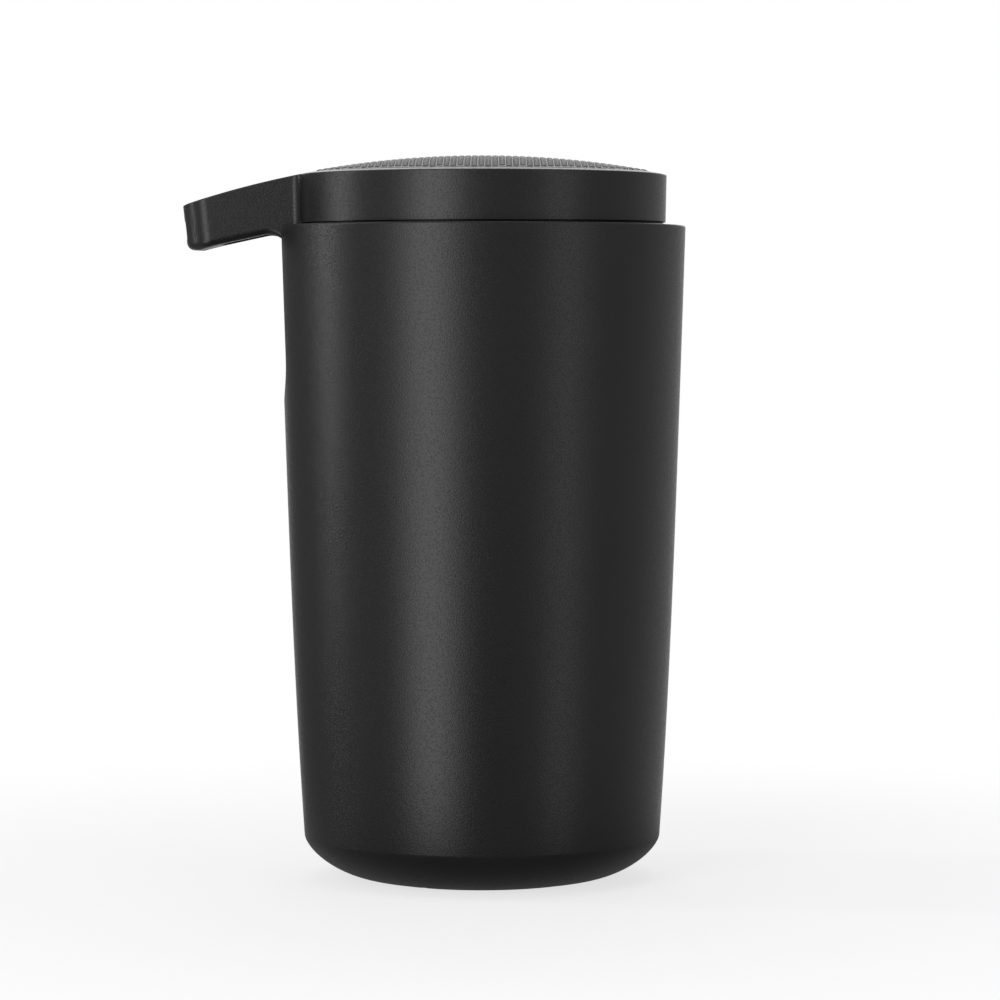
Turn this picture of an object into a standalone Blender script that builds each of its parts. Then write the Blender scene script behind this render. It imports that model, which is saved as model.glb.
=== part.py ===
# Pump soap dispenser: a slotted outer cup, a bottle that lifts out of it, a spring-loaded pump and a
# broad press cap whose spout rides down the slot. Lengths are in metres. The dispenser stands on
# z = 0, its axis is the Z axis and its spout points along -X.

import math

import bmesh
import bpy
import numpy as np

# Clearances shared by every fit
fit_gap = 0.0003
overrun = 0.002

# Outer cup
cup_height = 0.1252
rim_radius = 0.03904
wall_taper = 0.0037
foot_draw_in = 0.0011
foot_draw_in_power = 4
corner_height = 0.00826
corner_width = 0.01175
corner_power = 1.56
cup_wall = 0.0028
cup_floor = 0.0030
inner_corner_height = 0.0070
inner_corner_width = 0.0095
inner_corner_power = 2.0
rim_round = 0.0009

# U-slot in the front wall of the cup
slot_half_width = 0.0082
slot_depth = 0.0334
slot_rim_round = 0.0010
slot_inner_reach = 0.026

# Base pad let into the underside
pad_radius = 0.0213
pad_thickness = 0.0018
pad_proud = 0.00035
notch_width = 0.0012
notch_depth = 0.0007
notch_turn = math.radians(239)

# Inner bottle
bottle_side_gap = 0.0010
bottle_wall = 0.0014
bottle_side_drop = 0.0210
bottle_corner_height = 0.0070
bottle_corner_width = 0.0090
bottle_shoulder_rise = 0.0092
neck_radius = 0.0165
neck_bore = 0.0145
neck_drop = 0.0182
thread_ridge = 0.0008
thread_ridge_height = 0.0012
thread_pitch = 0.0040
thread_ridge_count = 2
thread_first_drop = 0.0022

# Neck gasket
gasket_thickness = 0.0010

# Pump housing
flange_thickness = 0.0012
housing_radius = 0.0084
housing_bore = 0.0072
housing_ledge_drop = 0.0408
ball_chamber_bore = 0.0033
ball_chamber_depth = 0.0045
throat_bore = 0.0014
throat_length = 0.0016
tube_socket_radius = 0.0042
tube_socket_length = 0.0090
housing_cone_height = 0.0058

# Dip tube
tube_radius = 0.0026
tube_bore = 0.0017
tube_floor_gap = 0.0014

# Check balls
inlet_ball_radius = 0.0019
outlet_ball_radius = 0.0019
ball_lift = 0.0012

# Ball cage
cage_flange_thickness = 0.0010
cage_hole = 0.0012

# Return spring
spring_wire_radius = 0.00045
spring_coil_radius = 0.0045
spring_turns = 9
spring_points_per_turn = 9

# Stem, its plug, its seal and its valve
stroke = 0.0080
stem_radius = 0.0035
stem_bore = 0.0015
stem_chamber_bore = 0.0026
stem_chamber_height = 0.0085
stem_head_room = 0.0084
plug_flange_thickness = 0.0016
plug_flange_radius = 0.0058
plug_spigot_length = 0.0055
plug_hole = 0.0007
seal_height = 0.0064
seal_waist = 0.0008
seal_lip_height = 0.0016
retainer_height = 0.0038
retainer_hole = 0.0010
piston_height_above_ledge = 0.0230

# Stem guide
guide_flange_radius = 0.0110
guide_flange_thickness = 0.0012
guide_depth = 0.0085

# Screw collar
collar_radius = 0.0200
collar_wall = 0.0020
collar_top_thickness = 0.0016
collar_height = 0.0150
collar_hole_gap = 0.0004
collar_rib_depth = 0.0005
collar_ribs = 36

# Press cap
dome_rise = 0.0132
dome_radius = 0.179
cap_radius = 0.0354
cap_draft = 0.00045
cap_sink = 0.0132
cap_edge_round = 0.0007
cap_lip_round = 0.0005
cap_wall = 0.0017
cap_top_thickness = 0.0030
boss_wall = 0.0014
boss_length = 0.0027

# Spout, moulded with the cap
spout_reach = 0.0573
spout_half_width = 0.0074
spout_nose_length = 0.0050
spout_lean = math.radians(6)
spout_root_round = 0.0022
spout_tip_height = 0.00848
spout_tip_flat = 0.0028
spout_belly_angle = math.radians(12.19)
spout_belly_start = 0.0066
spout_wall = 0.0020
spout_tip_wall = 0.0073
channel_nose_length = 0.0020
channel_root_round = 0.0010

# Grip pad in the cap's top
grip_margin = 0.0025
grip_thickness = 0.0010
grip_proud = 0.0002
grip_edge_round = 0.0003

# Actuator socket and soap tube
actuator_radius = 0.0066
actuator_foot_clearance = 0.0006
socket_cavity_bore = 0.0024
socket_cavity_height = 0.0042
port_height_above_socket = 0.0019
nipple_radius = 0.0033
nipple_reach = 0.0090
soap_tube_radius = 0.0020
soap_tube_bore = 0.0014
soap_tube_seat = 0.0030
outlet_rise = 0.0037
nozzle_radius = 0.0026
nozzle_recess = 0.0004
nozzle_back_gap = 0.0011
nozzle_lip = 0.0004

# Shares of the sizes that they follow
spout_root_share = 0.3
ceiling_ring_share = 0.6

# Counts
round_steps = 64
bottle_steps = 36
small_steps = 24
wall_rings = 6
bottle_rings = 3
corner_steps = 6
round_over_steps = 3
cap_arc_samples = 26
cap_fillet_samples = 3
cap_side_samples = 4
cap_nose_samples = 6
cap_top_rings = 3
cap_side_rings = 2
ball_rows = 8
slot_arc_steps = 12
sharp_edge_angle = math.radians(35)

# Colours
black = (0.012, 0.012, 0.012)
graphite = (0.03, 0.03, 0.032)
natural = (0.72, 0.73, 0.72)
clear_white = (0.80, 0.82, 0.82)
rubber_black = (0.018, 0.018, 0.018)
steel = (0.62, 0.62, 0.62)


# Places worked out from the sizes above
foot_level = pad_proud
dome_apex = cup_height + dome_rise
cap_foot = cup_height - cap_sink
spout_tip_top = dome_apex - dome_radius + math.sqrt(dome_radius**2 - spout_reach**2)
spout_tip_bottom = spout_tip_top - spout_tip_height
spout_tip_flat_reach = spout_reach - spout_tip_flat
spout_belly_reach = cap_radius + spout_belly_start
outlet_height = spout_tip_bottom + outlet_rise
grip_radius = cap_radius - grip_margin
channel_reach = spout_reach - spout_tip_wall
nozzle_length = spout_tip_wall - nozzle_recess - nozzle_back_gap
bottle_foot = cup_floor + fit_gap
neck_top = cup_height - neck_drop
bottle_side_height = neck_top - bottle_side_drop
gasket_foot = neck_top + fit_gap
flange_foot = gasket_foot + gasket_thickness + fit_gap
housing_top = flange_foot + flange_thickness
ledge = housing_top - housing_ledge_drop
chamber_foot = ledge - ball_chamber_depth
cone_foot = chamber_foot - (ball_chamber_bore - throat_bore)
socket_top = cone_foot - throat_length
collar_top = housing_top + fit_gap + collar_top_thickness
guide_top = collar_top + fit_gap + guide_flange_thickness
plug_foot = ledge + piston_height_above_ledge
stem_foot = plug_foot + plug_flange_thickness + fit_gap
stem_top = dome_apex - cap_top_thickness - stem_head_room
valve_seat = stem_top - stem_chamber_height - (stem_chamber_bore - stem_bore)
actuator_foot = guide_top + stroke + actuator_foot_clearance
socket_top_level = stem_top + fit_gap
cap_skirt_radius = cap_radius - cap_draft


def material(name, colour, roughness, metallic=0.0):
    made = bpy.data.materials.new(name)
    made.use_nodes = True
    shader = made.node_tree.nodes["Principled BSDF"]
    shader.inputs["Base Color"].default_value = (*colour, 1)
    shader.inputs["Roughness"].default_value = roughness
    shader.inputs["Metallic"].default_value = metallic
    return made


def clear_scene():
    for obj in list(bpy.data.objects):
        bpy.data.objects.remove(obj, do_unlink=True)


def place(name, bm, finish=None, parent=None, at=(0, 0, 0), turn=(0, 0, 0)):
    """Makes an object of a bmesh, with outward faces and smooth shading but for its sharp edges."""
    bmesh.ops.recalc_face_normals(bm, faces=bm.faces)
    mesh = bpy.data.meshes.new(name)
    bm.to_mesh(mesh)
    bm.free()
    mesh.shade_smooth()
    mesh.set_sharp_from_angle(angle=sharp_edge_angle)
    obj = bpy.data.objects.new(name, mesh)
    bpy.context.scene.collection.objects.link(obj)
    obj.location = at
    obj.rotation_euler = turn
    obj.parent = parent
    if finish:
        mesh.materials.append(finish)
    return obj


def frame(name, at=(0, 0, 0), parent=None):
    """An empty on a joint's axis, which carries the pieces of one moving body."""
    obj = bpy.data.objects.new(name, None)
    bpy.context.scene.collection.objects.link(obj)
    obj.parent = parent
    obj.location = at
    return obj


def turned_mesh(profile, steps):
    """Spins a profile of (radius, height) points about Z. A ring's profile ends where it starts."""
    bm = bmesh.new()
    loop = profile[0] == profile[-1]
    points = profile[:-1] if loop else profile
    verts = [bm.verts.new((radius, 0, height)) for radius, height in points]
    edges = [bm.edges.new(pair) for pair in zip(verts, verts[1:])]
    if loop:
        edges.append(bm.edges.new((verts[-1], verts[0])))
    bmesh.ops.spin(
        bm, geom=verts + edges, cent=(0, 0, 0), axis=(0, 0, 1), angle=math.tau, steps=steps, use_merge=True
    )
    bmesh.ops.remove_doubles(bm, verts=bm.verts, dist=fit_gap * fit_gap)
    return bm


def turned(name, profile, finish=None, parent=None, steps=small_steps, at=(0, 0, 0), turn=(0, 0, 0)):
    return place(name, turned_mesh(profile, steps), finish, parent, at, turn)


def tube_profile(outer, bore, foot, top):
    return [(outer, top), (outer, foot), (bore, foot), (bore, top), (outer, top)]


def rod_profile(radius, foot, top):
    return [(0, top), (radius, top), (radius, foot), (0, foot)]


def loft(name, rings, first_pole, last_pole, finish=None, parent=None):
    """Bridges closed rings of points one after the other, with a fan of faces at each end."""
    bm = bmesh.new()
    rows = [[bm.verts.new(point) for point in ring] for ring in rings]
    count = len(rows[0])
    for upper, lower in zip(rows, rows[1:]):
        for i in range(count):
            j = (i + 1) % count
            bm.faces.new((upper[i], lower[i], lower[j], upper[j]))
    for pole, row in ((first_pole, rows[0]), (last_pole, rows[-1])):
        tip = bm.verts.new(pole)
        for i in range(count):
            bm.faces.new((tip, row[i], row[(i + 1) % count]))
    return place(name, bm, finish, parent)


def hide_cutter(cutter):
    cutter.hide_render = True
    cutter.display_type = "WIRE"
    return cutter


def combine(target, tool, operation):
    """A live Boolean on the target, with the tool kept as a hidden helper."""
    hide_cutter(tool)
    modifier = target.modifiers.new(tool.name, "BOOLEAN")
    modifier.operation = operation
    modifier.solver = "EXACT"
    modifier.object = tool


def cut(target, tool):
    combine(target, tool, "DIFFERENCE")


def join(target, tool):
    combine(target, tool, "UNION")


def cup_radius(height):
    """Outer radius of the cup's wall: a straight taper with a stronger draw-in towards the foot."""
    drop = (cup_height - height) / (cup_height - corner_height)
    return rim_radius - wall_taper * drop - foot_draw_in * drop**foot_draw_in_power


def corner(radius, width, height, power, foot, steps):
    """A superellipse corner from the side, at foot + height, to the flat underside at foot."""
    points = []
    for i in range(steps + 1):
        angle = math.pi / 2 * (1 - i / steps)
        across = math.sin(angle) ** (2 / power)
        down = math.cos(angle) ** (2 / power) if i else 0
        points.append((radius - width * (1 - across), foot + height * (1 - down)))
    return points


def outer_wall(first, last, count):
    heights = np.linspace(first, last, count)
    return [(cup_radius(height), height) for height in heights]


def cup_profile():
    """The cup's section: rim, outer wall, corner, underside with the pad's recess, floor and inner wall."""
    outer = []
    for i in range(round_over_steps + 1):
        angle = math.pi / 2 * (1 - i / round_over_steps)
        outer.append(
            (rim_radius - rim_round * (1 - math.cos(angle)), cup_height - rim_round * (1 - math.sin(angle)))
        )
    outer += outer_wall(cup_height - rim_round, corner_height, wall_rings)[1:-1]
    outer += corner(cup_radius(corner_height), corner_width, corner_height - foot_level, corner_power,
                    foot_level, corner_steps)
    recess_radius = pad_radius + fit_gap
    recess_top = pad_thickness + fit_gap
    underside = [(recess_radius, foot_level), (recess_radius, recess_top), (0, recess_top)]
    inner_corner_top = cup_floor + inner_corner_height
    inner = corner(cup_radius(inner_corner_top) - cup_wall, inner_corner_width, inner_corner_height,
                   inner_corner_power, cup_floor, corner_steps)[::-1]
    inner = [(0, cup_floor)] + inner
    inner += [(radius - cup_wall, height) for radius, height in
              outer_wall(inner_corner_top, cup_height, wall_rings)[1:]]
    return outer + underside, inner


def slot_outline():
    """The slot seen from the front as (y, z): round at the bottom and flared into the rim at the top."""
    arc_level = cup_height - slot_depth + slot_half_width
    flare_level = cup_height - slot_rim_round
    side = [(slot_half_width + slot_rim_round, cup_height + overrun)]
    for i in range(round_over_steps + 1):
        angle = math.pi / 2 * (1 - i / round_over_steps)
        side.append((slot_half_width + slot_rim_round * (1 - math.cos(angle)),
                     flare_level + slot_rim_round * math.sin(angle)))
    right = [(-y, z) for y, z in side[::-1]]
    arc = []
    for i in range(slot_arc_steps + 1):
        angle = math.pi * i / slot_arc_steps
        arc.append((slot_half_width * math.cos(angle), arc_level - slot_half_width * math.sin(angle)))
    return side + arc + right


def prism(name, outline, start, end):
    """Extrudes an outline of (y, z) points along X."""
    bm = bmesh.new()
    face = bm.faces.new([bm.verts.new((start, y, z)) for y, z in outline])
    made = bmesh.ops.extrude_face_region(bm, geom=[face])
    moved = [item for item in made["geom"] if isinstance(item, bmesh.types.BMVert)]
    bmesh.ops.translate(bm, verts=moved, vec=(end - start, 0, 0))
    return place(name, bm)


def build_cup(finishes):
    outside, inside = cup_profile()
    cup = turned("outer_body", outside + inside + [outside[0]], finishes["black"], steps=round_steps)
    cut(cup, prism("slot_cutter", slot_outline(), -rim_radius - overrun, -slot_inner_reach))


def build_base_pad(finishes):
    pad = turned("base_pad", rod_profile(pad_radius, 0, pad_thickness), finishes["rubber"])
    notch = prism("notch_cutter", box_outline(notch_width, -overrun, pad_thickness + overrun),
                  pad_radius - notch_depth, pad_radius + overrun)
    notch.rotation_euler = (0, 0, notch_turn)
    cut(pad, notch)


def box_outline(width, foot, top):
    half = width / 2
    return [(-half, foot), (half, foot), (half, top), (-half, top)]


def bottle_radius(height):
    return cup_radius(height) - cup_wall - bottle_side_gap


def shoulder(outer, inner, foot, rise, steps):
    """A quarter ellipse from the bottle's side up to its neck, listed from the neck down."""
    points = []
    for i in range(steps + 1):
        angle = math.pi / 2 * i / steps
        points.append((inner + (outer - inner) * math.sin(angle), foot + rise * math.cos(angle)))
    return points


def bottle_profile():
    """Down the outside from the lip, over two thread ridges, and back up the inside."""
    outer = [(neck_radius, neck_top)]
    for i in range(thread_ridge_count):
        level = neck_top - thread_first_drop - thread_pitch * i
        ridge = neck_radius + thread_ridge
        outer += [(neck_radius, level), (ridge, level - thread_ridge), (ridge, level - thread_ridge_height)]
        outer.append((neck_radius, level - thread_ridge_height - thread_ridge))
    outer += shoulder(bottle_radius(bottle_side_height), neck_radius, bottle_side_height,
                      bottle_shoulder_rise, corner_steps)
    heights = np.linspace(bottle_side_height, bottle_foot + bottle_corner_height, bottle_rings)
    outer += [(bottle_radius(height), height) for height in heights[1:-1]]
    corner_top = bottle_foot + bottle_corner_height
    outer += corner(bottle_radius(corner_top), bottle_corner_width, bottle_corner_height,
                    inner_corner_power, bottle_foot, corner_steps)
    floor = bottle_foot + bottle_wall
    inner = [(0, bottle_foot), (0, floor)]
    inner += corner(bottle_radius(corner_top) - bottle_wall, bottle_corner_width - bottle_wall,
                    bottle_corner_height - bottle_wall, inner_corner_power, floor, corner_steps)[::-1]
    inner += [(bottle_radius(height) - bottle_wall, height) for height in heights[::-1][1:]]
    inner += shoulder(bottle_radius(bottle_side_height) - bottle_wall, neck_bore, bottle_side_height,
                      bottle_shoulder_rise - bottle_wall, corner_steps)[::-1][1:]
    inner.append((neck_bore, neck_top))
    return outer + inner + [outer[0]]


def build_bottle(finishes, carrier):
    turned("inner_bottle", bottle_profile(), finishes["bottle"], carrier, steps=bottle_steps)


def build_gasket(finishes, carrier):
    turned("neck_gasket", tube_profile(neck_radius, neck_bore, 0, gasket_thickness), finishes["rubber"],
           carrier, at=(0, 0, gasket_foot))


def build_housing(finishes, carrier):
    cone_top = ledge - ball_chamber_depth
    profile = [
        (neck_radius, housing_top), (neck_radius, flange_foot), (housing_radius, flange_foot),
        (housing_radius, ledge), (tube_socket_radius, ledge - housing_cone_height),
        (tube_socket_radius, socket_top - tube_socket_length),
        (tube_radius + fit_gap, socket_top - tube_socket_length), (tube_radius + fit_gap, socket_top),
        (throat_bore, socket_top), (throat_bore, cone_foot), (ball_chamber_bore, cone_top),
        (ball_chamber_bore, ledge), (housing_bore, ledge), (housing_bore, housing_top),
        (neck_radius, housing_top),
    ]
    turned("pump_housing", profile, finishes["natural"], carrier)


def build_dip_tube(finishes, carrier):
    foot = bottle_foot + bottle_wall + tube_floor_gap
    length = socket_top - fit_gap - foot
    turned("dip_tube", tube_profile(tube_radius, tube_bore, 0, length), finishes["clear"], carrier,
           steps=small_steps // 2, at=(0, 0, foot))


def build_ball(name, radius, cone_apex, finishes, carrier):
    """A ball over a 45 degree cone seat, the seat's gap measured square to the cone."""
    centre = cone_apex + math.sqrt(2) * (radius + fit_gap)
    profile = []
    for i in range(ball_rows + 1):
        angle = math.pi * i / ball_rows
        across = 0 if i in (0, ball_rows) else radius * math.sin(angle)
        profile.append((across, radius * math.cos(angle)))
    turned(name, profile, finishes["steel"], carrier, steps=ball_rows * 2, at=(0, 0, centre))
    return centre


def build_cage(finishes, carrier, ball_top):
    foot = ball_top + ball_lift + fit_gap
    flange_low = ledge + fit_gap
    flange_high = flange_low + cage_flange_thickness
    barrel = ball_chamber_bore - fit_gap
    flange = housing_bore - fit_gap
    profile = [(flange, flange_high), (flange, flange_low), (barrel, flange_low), (barrel, foot),
               (cage_hole, foot), (cage_hole, flange_high), (flange, flange_high)]
    turned("ball_cage", profile, finishes["natural"], carrier)
    return flange_high


def build_spring(finishes, carrier, low, high):
    """A coil of even pitch between the cage and the plug, as one swept wire with closed ends."""
    first = low + fit_gap + spring_wire_radius
    last = high - fit_gap - spring_wire_radius
    count = spring_turns * spring_points_per_turn
    turns = np.linspace(0, spring_turns, count + 1)
    points = np.stack([
        spring_coil_radius * np.cos(math.tau * turns),
        spring_coil_radius * np.sin(math.tau * turns),
        np.linspace(first, last, count + 1),
    ], axis=1)
    gaps = np.linalg.norm(points[spring_points_per_turn:] - points[:-spring_points_per_turn], axis=1)
    print("least gap between the spring's turns, in metres:", round(gaps.min() - 2 * spring_wire_radius, 6))
    curve = bpy.data.curves.new("return_spring", "CURVE")
    curve.dimensions = "3D"
    curve.bevel_depth = spring_wire_radius
    curve.bevel_resolution = 1
    curve.use_fill_caps = True
    spline = curve.splines.new("POLY")
    spline.points.add(count)
    for point, place_of in zip(spline.points, points):
        point.co = (*place_of, 1)
    curve.materials.append(finishes["steel"])
    spring = bpy.data.objects.new("return_spring", curve)
    bpy.context.scene.collection.objects.link(spring)
    spring.parent = carrier


def build_stem(finishes, carrier):
    """The stem, with a cone seat for its ball above the bore, its plug and its seal."""
    cone_top = stem_top - stem_chamber_height
    profile = [(stem_radius, stem_top), (stem_radius, stem_foot), (stem_bore, stem_foot),
               (stem_bore, valve_seat), (stem_chamber_bore, cone_top), (stem_chamber_bore, stem_top),
               (stem_radius, stem_top)]
    turned("piston_stem", profile, finishes["natural"], carrier)
    flange_high = plug_foot + plug_flange_thickness
    spigot = stem_bore - fit_gap
    profile = [(spigot, flange_high + plug_spigot_length), (spigot, flange_high),
               (plug_flange_radius, flange_high), (plug_flange_radius, plug_foot),
               (plug_hole, plug_foot), (plug_hole, flange_high + plug_spigot_length),
               (spigot, flange_high + plug_spigot_length)]
    turned("stem_plug", profile, finishes["natural"], carrier)


def build_seal(finishes, carrier):
    """A piston ring with a lip at each end that slides in the housing's bore."""
    lip = housing_bore - fit_gap
    waist = lip - seal_waist
    bore = stem_radius + fit_gap
    profile = [(lip, seal_height), (lip, seal_height - seal_lip_height),
               (waist, seal_height - seal_lip_height - seal_waist),
               (waist, seal_lip_height + seal_waist), (lip, seal_lip_height), (lip, 0), (bore, 0),
               (bore, seal_height), (lip, seal_height)]
    turned("piston_seal", profile, finishes["seal"], carrier, at=(0, 0, stem_foot))


def build_retainer(finishes, carrier):
    top = stem_top - fit_gap
    profile = tube_profile(stem_chamber_bore - fit_gap, retainer_hole, -retainer_height, 0)
    turned("outlet_retainer", profile, finishes["natural"], carrier, at=(0, 0, top))


def build_guide(finishes, carrier):
    """The ring that closes the housing: its flange lies on the collar and its barrel in the bore."""
    barrel = housing_bore - fit_gap
    bore = stem_radius + fit_gap
    flange_low = collar_top + fit_gap
    barrel_foot = housing_top - guide_depth
    profile = [(guide_flange_radius, guide_top), (guide_flange_radius, flange_low), (barrel, flange_low),
               (barrel, barrel_foot), (bore, barrel_foot), (bore, guide_top), (guide_flange_radius, guide_top)]
    turned("stem_guide", profile, finishes["graphite"], carrier)


def build_collar(finishes, carrier):
    """A closure with upright ribs round its skirt, every other point of each ring drawn in."""
    samples = collar_ribs * 2
    angles = [math.tau * i / samples for i in range(samples)]
    foot = collar_top - collar_height
    ceiling = collar_top - collar_top_thickness
    bore = collar_radius - collar_wall
    hole = housing_radius + collar_hole_gap
    smooth, ribbed = 0, collar_rib_depth
    sections = [(hole, collar_top, smooth), (collar_radius - collar_wall, collar_top, smooth),
                (collar_radius, collar_top - collar_top_thickness, ribbed),
                (collar_radius, foot, ribbed), (bore, foot, smooth), (bore, ceiling, smooth),
                (hole, ceiling, smooth)]
    bm = bmesh.new()
    rows = []
    for radius, height, rib in sections:
        row = []
        for i, angle in enumerate(angles):
            reach = radius - rib * (i % 2)
            row.append(bm.verts.new((reach * math.cos(angle), reach * math.sin(angle), height)))
        rows.append(row)
    for upper, lower in zip(rows, rows[1:] + rows[:1]):
        for i in range(samples):
            j = (i + 1) % samples
            bm.faces.new((upper[i], lower[i], lower[j], upper[j]))
    place("screw_collar", bm, finishes["graphite"], carrier)


def plan_outline(radius, half_width, reach, nose, root_round):
    """The cap seen from above: a circle, a hollow root round, the spout's straight side and its nose."""
    centre_y = half_width + root_round
    centre_x = -math.sqrt((radius + root_round) ** 2 - centre_y**2)
    meet = math.atan2(centre_y, centre_x)
    points = [(radius * math.cos(angle), radius * math.sin(angle))
              for angle in np.linspace(0, meet, cap_arc_samples, endpoint=False)]
    inward = math.atan2(-centre_y, -centre_x)
    for angle in np.linspace(inward, -math.pi / 2, cap_fillet_samples, endpoint=False):
        points.append((centre_x + root_round * math.cos(angle), centre_y + root_round * math.sin(angle)))
    for x in np.linspace(centre_x, nose - reach, cap_side_samples, endpoint=False):
        points.append((x, half_width))
    for angle in np.linspace(math.pi / 2, math.pi, cap_nose_samples):
        points.append((nose - reach + nose * math.cos(angle), half_width * math.sin(angle)))
    half = np.array(points)
    other = half[1:-1][::-1] * (1, -1)
    return np.concatenate([half, other])


def dome(plan, drop=0.0):
    """Height of the cap's spherical top over points of the plan, less a drop."""
    across = (plan**2).sum(axis=-1)
    return dome_apex - drop - dome_radius + np.sqrt(dome_radius**2 - across)


def underside(plan, outer):
    """Lower edge of the cap: the skirt's foot, and the spout's belly where the plan reaches past it."""
    x = -plan[:, 0]
    slope = math.tan(spout_belly_angle)
    belly = spout_tip_bottom + slope * np.clip(spout_tip_flat_reach - x, 0, None)
    out = np.hypot(outer[:, 0], outer[:, 1])
    start = cap_skirt_radius + spout_root_share * (cap_radius - cap_skirt_radius)
    fall = np.clip((spout_belly_reach - out) / (spout_belly_reach - start), 0, 1)
    return cap_foot + (belly - cap_foot) * np.sqrt(1 - fall**2)


def drafted(offset, levels, inner=False):
    """Plan points of the cap's side at given levels, drawn in by an offset, with the cap's draft and
    the lean of the spout's front."""
    side_height = dome(np.array([[cap_radius, 0]]))[0] - cap_foot
    lean = math.tan(spout_lean) * side_height
    if inner:
        upper = plan_outline(cap_radius - cap_wall, spout_half_width - spout_wall, channel_reach,
                             channel_nose_length, channel_root_round)
        lower = plan_outline(cap_skirt_radius - cap_wall, spout_half_width - spout_wall,
                             channel_reach, channel_nose_length, channel_root_round)
    else:
        upper = plan_outline(cap_radius - offset, spout_half_width - offset, spout_reach - offset,
                             spout_nose_length - offset, spout_root_round + offset)
        lower = plan_outline(cap_skirt_radius - offset, spout_half_width - offset,
                             spout_reach - lean - offset, spout_nose_length - offset,
                             spout_root_round + offset)
    share = (dome(upper) - levels) / side_height
    return upper + (lower - upper) * share[:, None]


def ring(plan, levels):
    return np.column_stack([plan, np.broadcast_to(levels, len(plan))])


def cap_rings():
    """Rings of the cap from the recess in its top, over its edge, down its side and up its inside."""
    edge = plan_outline(cap_radius - cap_edge_round, spout_half_width - cap_edge_round,
                        spout_reach - cap_edge_round, spout_nose_length - cap_edge_round,
                        spout_root_round + cap_edge_round)
    directions = edge / np.linalg.norm(edge, axis=1)[:, None]
    recess = directions * (grip_radius + fit_gap)
    recess_drop = grip_thickness + fit_gap
    rings = [ring(recess / 2, dome(recess / 2, recess_drop)), ring(recess, dome(recess, recess_drop))]
    for share in np.linspace(0, 1, cap_top_rings, endpoint=False):
        plan = recess + (edge - recess) * share
        rings.append(ring(plan, dome(plan)))
    edge_level = dome(edge)
    for angle in np.linspace(0, math.pi / 2, round_over_steps):
        plan = drafted(cap_edge_round * (1 - math.sin(angle)), edge_level)
        rings.append(ring(plan, edge_level - cap_edge_round * (1 - math.cos(angle))))
    outer = drafted(0, np.full(len(edge), spout_tip_bottom))
    foot = underside(outer, outer)
    top = edge_level - cap_edge_round
    bottom = foot + cap_lip_round
    for share in np.linspace(0, 1, cap_side_rings + 1)[1:]:
        levels = top + (bottom - top) * share
        rings.append(ring(drafted(0, levels), levels))
    for angle in np.linspace(0, math.pi / 2, round_over_steps)[1:]:
        levels = foot + cap_lip_round * (1 - math.sin(angle))
        rings.append(ring(drafted(cap_lip_round * (1 - math.cos(angle)), levels), levels))
    inner = drafted(0, np.full(len(edge), cap_foot), inner=True)
    inner_foot = underside(inner, outer)
    rings.append(ring(drafted(0, inner_foot, inner=True), inner_foot))
    ceiling_plan = drafted(0, dome(inner, cap_top_thickness), inner=True)
    rings.append(ring(ceiling_plan, dome(ceiling_plan, cap_top_thickness)))
    flat = ceiling_plan / np.linalg.norm(ceiling_plan, axis=1)[:, None] * (cap_skirt_radius - cap_wall)
    for share in (ceiling_ring_share, ceiling_ring_share / 2):
        plan = flat * share
        rings.append(ring(plan, dome(plan, cap_top_thickness)))
    return rings


def build_cap(finishes, carrier, tube_at, tube_turn):
    centre = np.zeros((1, 2))
    recess_pole = (0, 0, dome(centre, grip_thickness + fit_gap)[0])
    ceiling_pole = (0, 0, dome(centre, cap_top_thickness)[0])
    cap = loft("press_cap", cap_rings(), recess_pole, ceiling_pole, finishes["black"], carrier)
    boss_bore = actuator_radius + fit_gap
    ceiling = ceiling_pole[2]
    boss = tube_profile(boss_bore + boss_wall, boss_bore, ceiling - boss_length, ceiling + fit_gap)
    join(cap, turned("boss_helper", boss))
    hole = turned("outlet_cutter", rod_profile(nozzle_radius + fit_gap, channel_reach - overrun,
                                               spout_reach + overrun), at=tube_at, turn=tube_turn)
    cut(cap, hole)


def build_grip_pad(finishes, carrier):
    """The disc in the cap's top, on the same sphere."""
    def level(radius, drop):
        return dome(np.array([[radius, 0.0]]), drop)[0]
    rows = np.linspace(0, grip_radius - grip_edge_round, corner_steps)
    profile = [(radius, level(radius, -grip_proud)) for radius in rows]
    profile.append((grip_radius, level(grip_radius, grip_edge_round - grip_proud)))
    profile += [(radius, level(radius, grip_thickness)) for radius in (grip_radius, grip_radius / 2, 0)]
    turned("grip_pad", profile, finishes["grip"], carrier, steps=round_steps)


def tube_axis():
    """Where the soap tube's axis leaves the pump's axis, and its turn from upright."""
    port_level = socket_top_level + port_height_above_socket
    fall = math.atan2(port_level - outlet_height, spout_reach)
    return (0, 0, port_level), (0, -math.pi / 2 - fall, 0), fall


def build_actuator(finishes, carrier, tube_at, tube_turn):
    """The socket on the stem, with a nipple for the soap tube."""
    top = dome(np.array([[actuator_radius, 0.0]]), cap_top_thickness)[0] - fit_gap
    body = turned("pump_actuator", rod_profile(actuator_radius, actuator_foot, top), finishes["graphite"],
                  carrier)
    join(body, turned("nipple_helper", rod_profile(nipple_radius, 0, nipple_reach), at=tube_at, turn=tube_turn))
    socket = [(0, socket_top_level + socket_cavity_height),
              (socket_cavity_bore, socket_top_level + socket_cavity_height),
              (socket_cavity_bore, socket_top_level), (stem_radius + fit_gap, socket_top_level),
              (stem_radius + fit_gap, actuator_foot - overrun), (0, actuator_foot - overrun)]
    cut(body, turned("socket_cutter", socket))
    cut(body, turned("port_cutter", rod_profile(soap_tube_radius + fit_gap, 0, nipple_reach + overrun),
                     at=tube_at, turn=tube_turn))


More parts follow.
